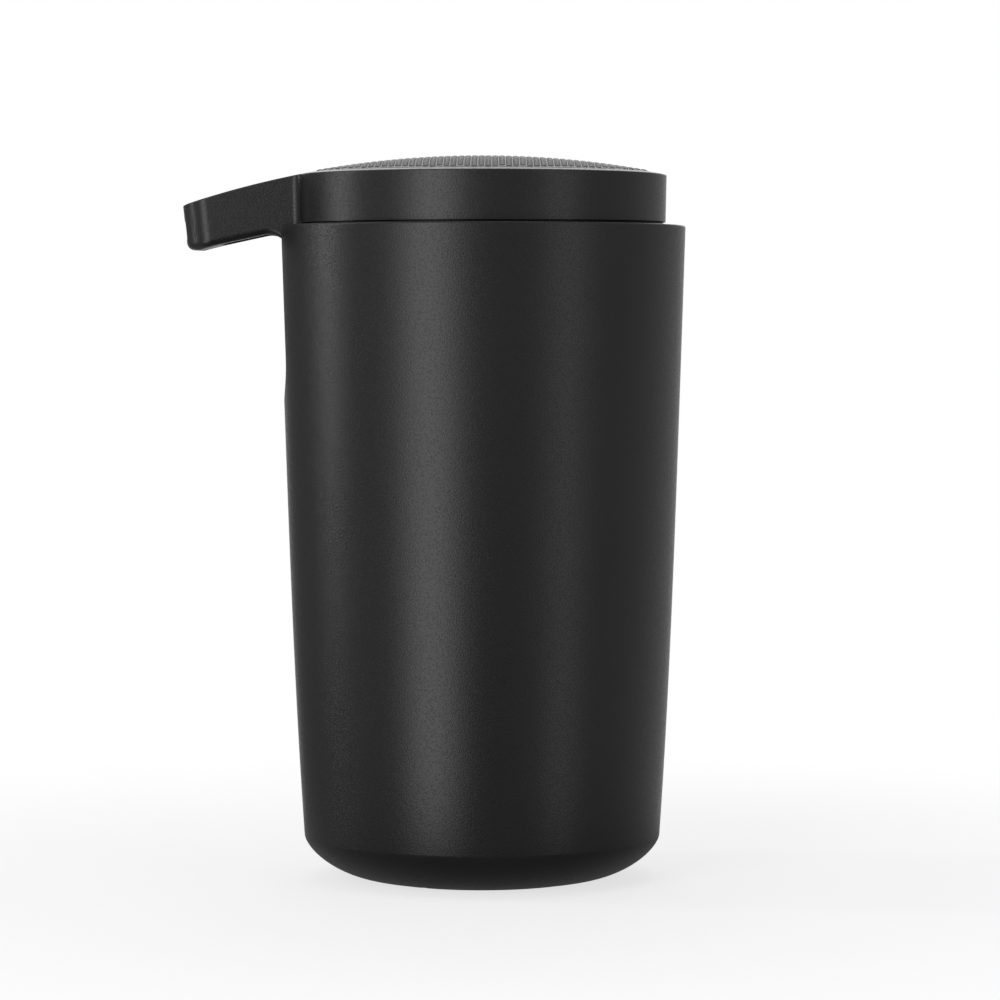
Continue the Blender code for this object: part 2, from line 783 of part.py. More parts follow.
def build_soap_tube(finishes, carrier, tube_at, tube_turn, fall):
    """The tube from the nipple to the spout's solid tip, and the nozzle in that tip."""
    nozzle_end = (spout_reach - nozzle_recess) / math.cos(fall)
    nozzle_start = nozzle_end - nozzle_length
    start = nipple_reach - soap_tube_seat
    turned("nozzle_tube", tube_profile(soap_tube_radius, soap_tube_bore, start, nozzle_start - fit_gap),
           finishes["clear"], carrier, steps=small_steps // 2, at=tube_at, turn=tube_turn)
    bore = soap_tube_bore
    profile = [(nozzle_radius - nozzle_lip, nozzle_end), (nozzle_radius, nozzle_end - nozzle_lip),
               (nozzle_radius, nozzle_start), (bore, nozzle_start), (bore, nozzle_end - nozzle_lip),
               (bore + nozzle_lip, nozzle_end), (nozzle_radius - nozzle_lip, nozzle_end)]
    turned("nozzle_tip", profile, finishes["black"], carrier, steps=small_steps * 2 // 3, at=tube_at,
           turn=tube_turn)


def make_finishes():
    return {
        "black": material("matte_black_shell", black, 0.42),
        "graphite": material("graphite_plastic", graphite, 0.45),
        "natural": material("natural_plastic", natural, 0.4),
        "clear": material("tube_plastic", clear_white, 0.3),
        "bottle": material("bottle_plastic", natural, 0.35),
        "rubber": material("foot_rubber", rubber_black, 0.8),
        "seal": material("seal_plastic", clear_white, 0.5),
        "grip": material("grip_rubber", black, 0.55),
        "steel": material("spring_steel", steel, 0.25, 1.0),
    }


def main():
    clear_scene()
    finishes = make_finishes()
    bottle = frame("bottle_frame")
    pump = frame("pump_frame", parent=bottle)
    collar = frame("collar_frame", parent=pump)
    head = frame("head_frame", parent=pump)
    build_cup(finishes)
    build_base_pad(finishes)
    build_bottle(finishes, bottle)
    build_gasket(finishes, pump)
    build_housing(finishes, pump)
    build_dip_tube(finishes, pump)
    inlet = build_ball("inlet_ball", inlet_ball_radius, cone_foot - throat_bore, finishes, pump)
    cage_top = build_cage(finishes, pump, inlet + inlet_ball_radius)
    build_spring(finishes, pump, cage_top, plug_foot)
    build_guide(finishes, pump)
    build_collar(finishes, collar)
    build_stem(finishes, head)
    build_seal(finishes, head)
    build_ball("outlet_ball", outlet_ball_radius, valve_seat - stem_bore, finishes, head)
    build_retainer(finishes, head)
    tube_at, tube_turn, fall = tube_axis()
    build_actuator(finishes, head, tube_at, tube_turn)
    build_cap(finishes, head, tube_at, tube_turn)
    build_grip_pad(finishes, head)
    build_soap_tube(finishes, head, tube_at, tube_turn, fall)


main()
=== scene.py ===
import math

import bmesh
import bpy
import numpy as np
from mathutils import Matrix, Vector


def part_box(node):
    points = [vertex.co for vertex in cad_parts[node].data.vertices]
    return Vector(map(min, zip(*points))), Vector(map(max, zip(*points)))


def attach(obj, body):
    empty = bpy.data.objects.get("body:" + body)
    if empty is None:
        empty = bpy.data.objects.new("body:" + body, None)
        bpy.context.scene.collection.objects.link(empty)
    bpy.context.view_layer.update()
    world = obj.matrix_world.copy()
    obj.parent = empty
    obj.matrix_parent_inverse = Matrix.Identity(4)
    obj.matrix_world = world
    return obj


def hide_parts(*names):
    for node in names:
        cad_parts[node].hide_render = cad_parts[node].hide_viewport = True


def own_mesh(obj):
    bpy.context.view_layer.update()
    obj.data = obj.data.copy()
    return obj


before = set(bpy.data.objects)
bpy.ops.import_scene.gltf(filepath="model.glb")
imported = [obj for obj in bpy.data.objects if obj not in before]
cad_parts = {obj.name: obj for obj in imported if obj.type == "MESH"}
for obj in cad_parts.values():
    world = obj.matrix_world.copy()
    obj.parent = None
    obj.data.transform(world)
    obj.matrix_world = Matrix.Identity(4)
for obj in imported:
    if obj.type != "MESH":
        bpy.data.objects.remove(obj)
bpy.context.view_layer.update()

# The dispenser stands on z = 0, its axis is the Z axis and its spout points along -X.
# Shapes are worked out in millimetres and turned into metres when a mesh is filled.
mm = 0.001
print("frame loaded:", len(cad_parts), "nodes")


# Lowest and highest corner of a CAD node, in millimetres.
def span(node):
    low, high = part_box(node)
    return np.array(low) / mm, np.array(high) / mm


# Pairs of two coordinates, either of which may be a single number.
def pairs(first, second):
    return np.stack(np.broadcast_arrays(first, second), axis=-1)


# Joins rings of equal count into a skin. A pole closes either end with a fan; with no poles the last
# ring joins the first.
def ringSkin(rings, firstPole=None, lastPole=None):
    rows, count = rings.shape[:2]
    index = np.arange(rows * count).reshape(rows, count)
    points = rings.reshape(-1, 3)
    stack = index if firstPole is not None else np.vstack([index, index[:1]])
    across = np.roll(stack, -1, axis=1)
    quads = np.stack([stack[:-1], stack[1:], across[1:], across[:-1]], axis=-1).reshape(-1, 4)
    fans = [np.zeros((0, 3), int)]
    if firstPole is not None:
        points = np.vstack([points, firstPole, lastPole])
        tips = np.full((2, count), [[rows * count], [rows * count + 1]])
        fans.append(np.stack([tips[0], index[0], np.roll(index[0], -1)], axis=-1))
        fans.append(np.stack([tips[1], np.roll(index[-1], -1), index[-1]], axis=-1))
    return points, quads, np.concatenate(fans)


# A skin with a pole in the middle of its first ring and one in the middle of its last.
def cappedSkin(rings):
    return ringSkin(rings, rings[0].mean(axis=0)[None], rings[-1].mean(axis=0)[None])


# A new object in the scene's collection, at the origin.
def newObject(name, data):
    made = bpy.data.objects.new(name, data)
    bpy.context.scene.collection.objects.link(made)
    return made


# Sets a finished piece on its body and in place of its CAD node.
def place(piece, body, node):
    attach(piece, body)
    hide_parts(node)
    print(piece.name, "made,", len(piece.data.loops) - 2 * len(piece.data.polygons), "triangles")


# Fills a mesh and sets it up as a piece. If the skin's volume comes out negative, all faces are turned.
def makePiece(name, skin, slot, body=None, node=None, sharpAngle=50):
    points, quads, triangles = skin
    halves = np.concatenate([triangles, quads[:, [0, 1, 2]], quads[:, [0, 2, 3]]])
    first, second, third = (points[halves[:, i]] for i in range(3))
    if np.einsum("ij,ij->", first, np.cross(second, third)) < 0:
        quads, triangles = quads[:, ::-1], triangles[:, ::-1]
    loops = np.concatenate([quads.ravel(), triangles.ravel()]).astype(np.int32)
    sizes = np.concatenate([np.full(len(quads), 4), np.full(len(triangles), 3)])
    mesh = bpy.data.meshes.new(name)
    mesh.vertices.add(len(points))
    mesh.vertices.foreach_set("co", (points * mm).astype(np.float32).ravel())
    mesh.loops.add(len(loops))
    mesh.loops.foreach_set("vertex_index", loops)
    mesh.polygons.add(len(sizes))
    mesh.polygons.foreach_set("loop_start", (np.cumsum(sizes) - sizes).astype(np.int32))
    mesh.update(calc_edges=True)
    mesh.shade_smooth()
    mesh.set_sharp_from_angle(angle=math.radians(sharpAngle))
    piece = newObject(name, mesh)
    mesh.materials.append(finishes[slot])
    if body:
        place(piece, body, node)
    return piece


# Rounds an outline of (across, up, radius) corners. Each corner becomes an arc that touches both of
# its sides and takes no more than a share of either, with one more point beside each end of the arc
# that keeps the flats flat.
def rounded(corners, closed=True, steps=5, mostShare=0.45, besideShare=0.04):
    table = np.array(corners, float)
    places, radii = table[:, :2], table[:, 2]
    outline = []
    for i, radius in enumerate(radii):
        here = places[i]
        if radius == 0 or (not closed and i in (0, len(radii) - 1)):
            outline.append(here[None])
            continue
        back, ahead = places[i - 1] - here, places[(i + 1) % len(radii)] - here
        backLength, aheadLength = np.linalg.norm(back), np.linalg.norm(ahead)
        back, ahead = back / backLength, ahead / aheadLength
        half = math.acos(np.clip(back @ ahead, -1, 1)) / 2
        reach = min(radius / math.tan(half), mostShare * backLength, mostShare * aheadLength)
        middle = here + (back + ahead) / np.linalg.norm(back + ahead) * reach / math.cos(half)
        start, end = here + back * reach - middle, here + ahead * reach - middle
        sweep = math.pi - 2 * half
        share = np.linspace(0, 1, steps + 1)[:, None]
        arc = (np.sin((1 - share) * sweep) * start + np.sin(share * sweep) * end) / math.sin(sweep)
        outline.append((here + back * (reach + besideShare * backLength))[None])
        outline.append(middle + arc)
        outline.append((here + ahead * (reach + besideShare * aheadLength))[None])
    return np.concatenate(outline)


# Turns an outline of (radius, height) round the Z axis. Shape changes the radius by turn and height.
def turnedRings(outline, columns, shape=None):
    turn = np.linspace(0, math.tau, columns, endpoint=False)[None]
    radius, height = (np.broadcast_to(outline[:, [i]], (len(outline), columns)) for i in (0, 1))
    if shape:
        radius = shape(radius, height, turn)
    return np.stack([radius * np.cos(turn), radius * np.sin(turn), height], axis=-1)


# A turned skin: an outline that starts and ends on the axis gets poles, any other is a closed loop.
def turnedSkin(outline, columns, shape=None):
    if outline[0, 0] > 0:
        return ringSkin(turnedRings(outline, columns, shape))
    poles = [np.array([[0, 0, outline[i, 1]]]) for i in (0, -1)]
    return ringSkin(turnedRings(outline[1:-1], columns, shape), *poles)


# Cubic step from 0 at low to 1 at high.
def smoothStep(value, low, high):
    share = np.clip((value - low) / (high - low), 0, 1)
    return share * share * (3 - 2 * share)


# A quarter of a superellipse from the side of a wall to its flat foot.
def cornerCurve(radius, foot, width, height, power, count):
    angle = np.linspace(math.pi / 2, 0, count)
    across, down = np.sin(angle) ** (2 / power), np.cos(angle) ** (2 / power)
    return pairs(radius - width * (1 - across), foot + height * (1 - down))


# finishes
# Adds a node, its settings first. An input is given as a value or as another node's socket.
def addNode(tree, kind, inputs=None, **settings):
    node = tree.nodes.new(kind)
    for name, value in settings.items():
        setattr(node, name, value)
    for name, value in (inputs or {}).items():
        if isinstance(value, bpy.types.NodeSocket):
            tree.links.new(value, node.inputs[name])
        else:
            node.inputs[name].default_value = value
    return node


# One math step on two or three values.
def addMath(tree, operation, *values):
    return addNode(tree, "ShaderNodeMath", dict(enumerate(values)), operation=operation).outputs[0]


# Carries a value from one range to another and clamps it there.
def addRange(tree, value, start, end, low=0.0, high=1.0, kind="LINEAR"):
    limits = {"Value": value, "From Min": start, "From Max": end, "To Min": low, "To Max": high}
    return addNode(tree, "ShaderNodeMapRange", limits, interpolation_type=kind).outputs["Result"]


# The piece's own coordinates.
def addPlace(tree):
    return addNode(tree, "ShaderNodeTexCoord").outputs["Object"]


# A new material with its node tree and its shader.
def newFinish(name):
    finish = bpy.data.materials.new(name)
    finish.use_nodes = True
    return finish, finish.node_tree, finish.node_tree.nodes["Principled BSDF"]


# Feeds a shader two close tones mixed by a mask, a roughness between two by another, and a bump.
def feedShader(tree, shader, toneMask, tones, roughMask, roughRange, roughness, height, bump):
    tone = addNode(tree, "ShaderNodeMix", {0: toneMask}, data_type="RGBA")
    for i, colour in zip((6, 7), tones):
        tone.inputs[i].default_value = (*colour, 1)
    tree.links.new(tone.outputs[2], shader.inputs["Base Color"])
    tree.links.new(addRange(tree, roughMask, *roughRange, *roughness), shader.inputs["Roughness"])
    bumpHeight, bumpStrength = bump
    relief = addNode(tree, "ShaderNodeBump", {
        "Height": height, "Strength": bumpStrength, "Distance": bumpHeight * mm})
    tree.links.new(relief.outputs["Normal"], shader.inputs["Normal"])


# Moulded skin: fine spark-eroded grain and slow mottling, in the piece's own coordinates. Height is
# fractal noise, Mottle a slow mask, Speck a mask of small bright grains that fades from each cell's
# middle to a little over half a cell away.
def makeMouldGroup(speckScale=0.55, speckReach=0.55):
    group = bpy.data.node_groups.new("mouldedSkin", "ShaderNodeTree")
    sockets = {"INPUT": ("Grain Scale", "Mottle Scale"), "OUTPUT": ("Height", "Mottle", "Speck")}
    for way, names in sockets.items():
        for name in names:
            group.interface.new_socket(name, in_out=way, socket_type="NodeSocketFloat")
    start, end = group.nodes.new("NodeGroupInput"), group.nodes.new("NodeGroupOutput")
    where, grainScale = addPlace(group), start.outputs["Grain Scale"]
    grain = addNode(group, "ShaderNodeTexNoise", {
        "Vector": where, "Scale": grainScale, "Detail": 3.0, "Roughness": 0.6})
    mottle = addNode(group, "ShaderNodeTexNoise", {
        "Vector": where, "Scale": start.outputs["Mottle Scale"], "Detail": 2.0, "Roughness": 0.5})
    cells = addNode(group, "ShaderNodeTexVoronoi", {
        "Vector": where, "Scale": addMath(group, "MULTIPLY", grainScale, speckScale)})
    group.links.new(grain.outputs["Fac"], end.inputs["Height"])
    group.links.new(mottle.outputs["Fac"], end.inputs["Mottle"])
    speck = addRange(group, cells.outputs["Distance"], 0.0, speckReach, 1.0, 0.0)
    group.links.new(speck, end.inputs["Speck"])
    return group


mouldGroup = makeMouldGroup()


# A moulded plastic or rubber: tones mix by the mottle mask, roughness follows the specks, and the
# grain is a bump, given as (height in mm, strength).
def mouldedFinish(name, tones, roughness, grain, bump, mottle=90.0, specular=0.5):
    finish, tree, shader = newFinish(name)
    skin = addNode(tree, "ShaderNodeGroup", {"Grain Scale": grain, "Mottle Scale": mottle},
                   node_tree=mouldGroup)
    feedShader(tree, shader, skin.outputs["Mottle"], tones, skin.outputs["Speck"], (0.0, 1.0),
               roughness, skin.outputs["Height"], bump)
    shader.inputs["Specular IOR Level"].default_value = specular
    return finish


# Drawn or polished steel: fine streaks in tone and roughness and a faint waviness.
def steelFinish(name, roughness, streakScale, stretch, streakRange=(0.3, 0.7), bump=(0.01, 0.15),
                tones=((0.50, 0.50, 0.51), (0.66, 0.66, 0.67))):
    finish, tree, shader = newFinish(name)
    shader.inputs["Metallic"].default_value = 1.0
    scaled = addNode(tree, "ShaderNodeMapping", {"Vector": addPlace(tree), "Scale": stretch})
    streaks = addNode(tree, "ShaderNodeTexNoise", {
        "Vector": scaled.outputs["Vector"], "Scale": streakScale, "Detail": 4.0}).outputs["Fac"]
    feedShader(tree, shader, streaks, tones, streaks, streakRange, roughness, streaks, bump)
    return finish


# One finish for each material slot: two tones, roughness, scale of the grain, the bump's height in mm
# and strength, and the mottling's scale. Steel has roughness, scale of the streaks and their stretch.
finishes = {
    "black_shell": mouldedFinish("shellBlack", ((0.0075,) * 3, (0.0105,) * 3), (0.31, 0.45), 3400,
                                 (0.045, 0.8), specular=0.4),
    "grip": mouldedFinish("gripBlack", ((0.012,) * 3, (0.017,) * 3), (0.36, 0.46), 4200, (0.015, 0.3)),
    "foot_rubber": mouldedFinish("footRubber", ((0.014,) * 3, (0.024,) * 3), (0.65, 0.85), 2600,
                                 (0.03, 0.5)),
    "graphite_plastic": mouldedFinish("graphitePlastic", ((0.026, 0.026, 0.027), (0.036, 0.036, 0.038)),
                                      (0.38, 0.5), 3000, (0.015, 0.3)),
    "natural_plastic": mouldedFinish("naturalPlastic", ((0.66, 0.67, 0.66), (0.75, 0.76, 0.75)),
                                     (0.32, 0.42), 1600, (0.01, 0.2), 140.0),
    "bottle_plastic": mouldedFinish("bottlePlastic", ((0.60, 0.61, 0.60), (0.70, 0.71, 0.70)),
                                    (0.28, 0.4), 900, (0.02, 0.2), 60.0),
    "tube_plastic": mouldedFinish("tubePlastic", ((0.70, 0.72, 0.72), (0.78, 0.80, 0.80)),
                                  (0.2, 0.3), 1200, (0.008, 0.15), 200.0),
    "seal_plastic": mouldedFinish("sealPlastic", ((0.72, 0.73, 0.73), (0.80, 0.81, 0.81)),
                                  (0.42, 0.52), 2200, (0.01, 0.2), 200.0),
    "spring_steel": steelFinish("springSteel", (0.18, 0.34), 2400, (1, 1, 0.15)),
    "ball_steel": steelFinish("ballSteel", (0.06, 0.14), 900, (1, 1, 1)),
}
print("finishes made")


# outer cup
cup = {
    "height": span("outer_body")[1][2], "rimRadius": span("outer_body")[1][0],
    "foot": span("outer_body")[0][2],
    "taper": 3.7, "drawIn": 1.1, "drawInPower": 4,
    "cornerHeight": 8.26, "cornerWidth": 11.75, "cornerPower": 1.56,
    "wall": 2.8, "floor": 3.0,
    "innerCornerWidth": 9.5, "innerCornerHeight": 7.0, "innerCornerPower": 2.0,
    "rimRound": 0.4, "slotRound": 0.35, "innerRound": 0.5, "recessGap": 0.3, "recessRound": 0.3,
    "slotHalfWidth": 8.2, "slotDepth": 33.4, "slotFlare": 1.0,
    # points of the edge round the slot's foot, up its side, in the flare and along the rim
    "edgeCounts": (26, 22, 8, 150),
    "slotRoundEnd": 0.16,   # share of the rim over which the slot's rounding becomes the rim's
    "frontEnd": 50,         # degrees from the front to where depth is taken along the radius
    "evenLevel": 86.0, "leanPower": 1.6,   # where the columns begin to lean, and how the rings crowd
    # rings in the outer and inner corner, lower wall, leaning wall and edge rounding
    "cornerRings": (44, 14), "lowerRings": (42, 18), "leanRings": (38, 24), "edgeRings": (8, 7),
    "rimShares": (0.12, 0.5, 0.88),   # where rings cross the wall's thickness
}
footPad = {
    "radius": 21.3, "thickness": span("base_pad")[1][2], "edgeRound": 0.35, "topRound": 0.25,
    "notchTurn": 239, "notchWidth": 1.2, "notchSide": (0.42, 0.58), "notchDepth": 0.7,
}


# Outer radius: a straight taper plus a draw-in that grows with the fourth power of the drop.
def cupRadius(height):
    drop = (cup["height"] - height) / (cup["height"] - cup["cornerHeight"])
    return cup["rimRadius"] - cup["taper"] * drop - cup["drawIn"] * drop ** cup["drawInPower"]


# The line of the cup's upper edge, as turn from the front and height: half a circle round the slot's
# foot, up its side, a small flare and along the rim. Inset moves it into the wall, depth moves it
# inwards from the outer surface: along X in the slot, along the radius at the rim.
def edgeLine(inset, depth):
    half, flare, counts = cup["slotHalfWidth"], cup["slotFlare"], cup["edgeCounts"]
    footLevel = cup["height"] - cup["slotDepth"] + half
    cornerLevel = cup["height"] - flare
    arc = np.linspace(-math.pi / 2, 0, counts[0], endpoint=False)
    rise = np.linspace(0, 1, counts[1], endpoint=False)
    bend = np.linspace(math.pi, math.pi / 2, counts[2], endpoint=False)
    rimStart = math.asin((half + flare) / cup["rimRadius"])
    turn = np.linspace(rimStart, math.pi, counts[3])
    footInset, sideInset, bendInset, rimInset = np.split(inset, np.cumsum(counts)[:-1])
    across = np.concatenate([(half + footInset) * np.cos(arc), half + sideInset,
                             half + flare + (flare - bendInset) * np.cos(bend)])
    height = np.concatenate([footLevel + (half + footInset) * np.sin(arc),
                             footLevel + rise * (cornerLevel - footLevel),
                             cornerLevel + (flare - bendInset) * np.sin(bend),
                             cup["height"] - rimInset])
    radius = cupRadius(height) - depth
    slotTurn = np.arcsin(across / radius[:len(across)])
    rimRadius, rimDepth = radius[len(across):], depth[len(across):]
    frontTurn = np.minimum(turn, 1.5)   # the blend below is over long before this
    straight = np.arcsin(np.clip((rimRadius + rimDepth) * np.sin(frontTurn) / rimRadius, -1, 1))
    blend = 1 - smoothStep(turn, rimStart, math.radians(cup["frontEnd"]))
    return np.concatenate([slotTurn, turn + blend * (straight - frontTurn)]), height


# A half ring followed by its mirror image, without the two ends again.
def mirrored(half):
    return np.concatenate([half, half[1:-1][::-1]])


# Points on the cup from half a ring of turns and heights, at a depth below the outer surface.
def cupRing(turn, height, depth):
    radius = mirrored(cupRadius(height) - depth)
    side = np.concatenate([turn, -turn[1:-1][::-1]])
    return np.stack([-radius * np.cos(side), radius * np.sin(side), mirrored(height)], axis=-1)


# The cup's rings from the middle of its underside, up the outer wall, over the edge and down to the
# middle of its floor. In the upper walls the columns lean over from even turns to the edge's points.
def makeCup():
    total = sum(cup["edgeCounts"])
    rimCount = cup["edgeCounts"][-1]
    evenTurn = np.linspace(0, math.pi, total)
    alongRim = np.concatenate([np.zeros(total - rimCount), np.linspace(0, 1, rimCount)])
    slotShare = 1 - smoothStep(alongRim, 0, cup["slotRoundEnd"])
    outerRound = cup["rimRound"] + (cup["slotRound"] - cup["rimRound"]) * slotShare
    none, innerRound, wall = (np.full(total, size) for size in (0.0, cup["innerRound"], cup["wall"]))
    circle = pairs(-np.cos(evenTurn), np.sin(evenTurn))
    circle = np.concatenate([circle, (circle[1:-1] * (1, -1))[::-1]])

    def levelRings(outline):
        return [np.column_stack([circle * radius, np.full(len(circle), height)])
                for radius, height in outline]

    def leaningRings(edge, depth, shares):
        start, end = np.array(edge), np.array([evenTurn, np.full(total, cup["evenLevel"])])
        return [cupRing(*(start + (end - start) * share), depth)
                for share in shares ** cup["leanPower"]]

    cornerRings, lowerRings, leanRings, edgeRings = (
        cup[key] for key in ("cornerRings", "lowerRings", "leanRings", "edgeRings"))
    recess = footPad["radius"] + cup["recessGap"]
    recessTop = footPad["thickness"] + cup["recessGap"]
    cornerInner = cupRadius(cup["cornerHeight"]) - cup["cornerWidth"]
    under = rounded([(recess * 0.3, recessTop, 0), (recess * 0.7, recessTop, 0),
                     (recess, recessTop, cup["recessRound"]), (recess, cup["foot"], cup["recessRound"]),
                     (cornerInner, cup["foot"], 0)], closed=False)[:-1]
    corner = cornerCurve(cupRadius(cup["cornerHeight"]), cup["foot"], cup["cornerWidth"],
                         cup["cornerHeight"] - cup["foot"], cup["cornerPower"], cornerRings[0])[::-1]
    levels = np.linspace(cup["cornerHeight"], cup["evenLevel"], lowerRings[0])[1:]
    rings = levelRings(np.concatenate([under, corner, pairs(cupRadius(levels), levels)]))
    rings += leaningRings(edgeLine(outerRound, none), none, np.linspace(1, 0, leanRings[0])[1:])
    for angle in np.linspace(0, math.pi / 2, edgeRings[0])[1:]:
        depth = outerRound * (1 - math.cos(angle))
        rings.append(cupRing(*edgeLine(outerRound * (1 - math.sin(angle)), depth), depth))
    for share in cup["rimShares"]:
        depth = outerRound + (wall - innerRound - outerRound) * share
        rings.append(cupRing(*edgeLine(none, depth), depth))
    for angle in np.linspace(0, math.pi / 2, edgeRings[1]):
        depth = wall - innerRound * (1 - math.sin(angle))
        rings.append(cupRing(*edgeLine(innerRound * (1 - math.cos(angle)), depth), depth))
    rings += leaningRings(edgeLine(innerRound, wall), wall, np.linspace(0, 1, leanRings[1])[1:])
    innerTop = cup["floor"] + cup["innerCornerHeight"]
    levels = np.linspace(cup["evenLevel"], innerTop, lowerRings[1])[1:-1]
    innerCorner = cornerCurve(cupRadius(innerTop) - cup["wall"], cup["floor"], cup["innerCornerWidth"],
                              cup["innerCornerHeight"], cup["innerCornerPower"], cornerRings[1])
    floor = pairs(innerCorner[-1, 0] * np.array([0.7, 0.35]), cup["floor"])
    innerWall = pairs(cupRadius(levels) - cup["wall"], levels)
    rings += levelRings(np.concatenate([innerWall, innerCorner, floor]))
    poles = np.array([[[0, 0, recessTop]], [[0, 0, cup["floor"]]]])
    makePiece("cup_shell", ringSkin(np.array(rings), *poles), "black_shell", "cup", "outer_body")


makeCup()


# foot pad
# Radius of the pad: drawn in by the notch where a row lies outside it.
def padShape(radius, height, turn):
    off = (turn - math.radians(footPad["notchTurn"]) + math.pi) % math.tau - math.pi
    off = np.abs(off) * footPad["radius"]
    near, far = footPad["notchSide"]
    inNotch = 1 - smoothStep(off, footPad["notchWidth"] * near, footPad["notchWidth"] * far)
    limit = footPad["radius"] - footPad["notchDepth"] * inNotch
    return np.minimum(radius, limit - (footPad["radius"] - radius) * 0.5 * (inNotch > 0))


# A flat disc with rounded edges: half its outline, turned.
def makeFootPad():
    radius, top = footPad["radius"], footPad["thickness"]
    outline = rounded([(0, 0, 0), (radius * 0.5, 0, 0), (radius, 0, footPad["edgeRound"]),
                       (radius, top, footPad["topRound"]), (radius * 0.5, top, 0), (0, top, 0)],
                      closed=False)
    makePiece("foot_pad", turnedSkin(outline, 720, padShape), "foot_rubber", "cup", "base_pad")


makeFootPad()


# press cap with its spout
cap = {
    "domeApex": 138.4, "domeRadius": 179.0, "radius": 35.4, "draft": 0.45, "foot": 112.0,
    "edgeRound": 0.3, "lipRound": 0.5, "wall": 1.7, "topThickness": 3.0,
    "bossOuter": 8.3, "bossBore": 6.9, "bossLength": 2.7,
    "padSeat": 32.96, "padSeatDepth": 1.3,
    "seatWall": ((0.7, 0), (0.3, 0.1), (0.1, 0.24), (0.02, 0.36), (0, 0.45)),   # (drop, step outwards)
    # the fine dark line above the cup's rim: a groove between two shares of the skirt's height, whose
    # profile is given as (half widths up, share of the depth)
    "lineLevel": 125.44, "lineHalf": 0.2, "lineDepth": 0.7, "lineLimits": (0.38, 0.46),
    "lineProfile": ((1.15, 0), (1, 0), (0.1, 1), (-0.1, 1), (-1, 0), (-1.15, 0)),
}
spout = {
    "reach": 57.3, "halfWidth": 7.4, "nose": 5.0, "lean": math.tan(math.radians(6)), "rootRound": 1.9,
    "tipBottom": 120.5, "tipFlat": 54.5, "bellyReach": 42.0, "bellyBottom": 123.2, "rootShare": 0.3,
    "lipWidth": 1.3, "lipHeight": 1.35, "wall": 2.0,
    "channelReach": 50.0, "channelNose": 2.0, "channelRoot": 1.0,
}


# The cap from above: a circle, a hollow arc at the spout's root, the spout's side and half an ellipse
# for its nose. The lower half is the mirror image of the upper.
def planOutline(radius, halfWidth, reach, nose, rootRound, counts=(170, 18, 26, 34)):
    centreY = halfWidth + rootRound
    centreX = -math.sqrt((radius + rootRound) ** 2 - centreY ** 2)
    meet = math.atan2(centreY, centreX)
    skirt = np.linspace(0, meet, counts[0], endpoint=False)
    root = np.linspace(meet - math.pi, -math.pi / 2, counts[1], endpoint=False)
    along = np.linspace(0, 1, counts[2], endpoint=False)
    tip = np.linspace(math.pi / 2, math.pi, counts[3])
    half = np.concatenate([
        pairs(radius * np.cos(skirt), radius * np.sin(skirt)),
        pairs(centreX + rootRound * np.cos(root), centreY + rootRound * np.sin(root)),
        pairs(centreX + along * (nose - reach - centreX), halfWidth),
        pairs(nose - reach + nose * np.cos(tip), halfWidth * np.sin(tip))])
    return np.concatenate([half, half[1:-1][::-1] * (1, -1)])


# The outer plan with a given radius and reach, drawn in all round by an offset.
def outerPlan(radius, reach, offset):
    return planOutline(radius - offset, spout["halfWidth"] - offset, reach - offset,
                       spout["nose"] - offset, spout["rootRound"] + offset)


# Height of the spherical top over points of the plan.
def dome(plan, drop=0.0):
    across = (plan ** 2).sum(axis=-1)
    return cap["domeApex"] - drop - cap["domeRadius"] + np.sqrt(cap["domeRadius"] ** 2 - across)


# Lower edge: the skirt's foot, rising in a quarter round into the spout's sloping belly.
def capUnderside(plan, outer):
    out = -plan[:, 0]
    slope = (spout["bellyBottom"] - spout["tipBottom"]) / (spout["tipFlat"] - spout["bellyReach"])
    belly = spout["tipBottom"] + slope * np.clip(spout["tipFlat"] - out, 0, None)
    start = cap["radius"] - cap["draft"] * (1 - spout["rootShare"])
    fall = np.clip((spout["bellyReach"] - np.hypot(*outer.T)) / (spout["bellyReach"] - start), 0, 1)
    return cap["foot"] + (belly - cap["foot"]) * np.sqrt(1 - fall ** 2)


# The cap's side at given heights, drawn in by an offset: a blend of its outline at the top and its
# drafted outline at the foot, whose nose leans back. Inner gives the hollow's side instead.
def capSide(levels, offset=0, inner=False):
    sideHeight = dome(np.array([cap["radius"], 0.0])) - cap["foot"]
    if inner:
        channel = (spout["halfWidth"] - spout["wall"], spout["channelReach"], spout["channelNose"],
                   spout["channelRoot"])
        upper = planOutline(cap["radius"] - cap["wall"], *channel)
        lower = planOutline(cap["radius"] - cap["draft"] - cap["wall"], *channel)
    else:
        lowerReach = spout["reach"] - spout["lean"] * sideHeight
        upper = outerPlan(cap["radius"], spout["reach"], offset)
        lower = outerPlan(cap["radius"] - cap["draft"], lowerReach, offset)
    share = (dome(upper) - levels) / sideHeight
    return upper + (lower - upper) * share[:, None]


# A ring over points of the plan, at one height or at a height for each.
def capRing(plan, levels):
    return np.column_stack([plan, np.broadcast_to(levels, len(plan))])


# A ring on the cap's side.
def sideRing(levels, inner=False):
    return capRing(capSide(levels, inner=inner), levels)


# A ring on the dome, less a drop.
def domeRing(plan, drop=0.0):
    return capRing(plan, dome(plan, drop))


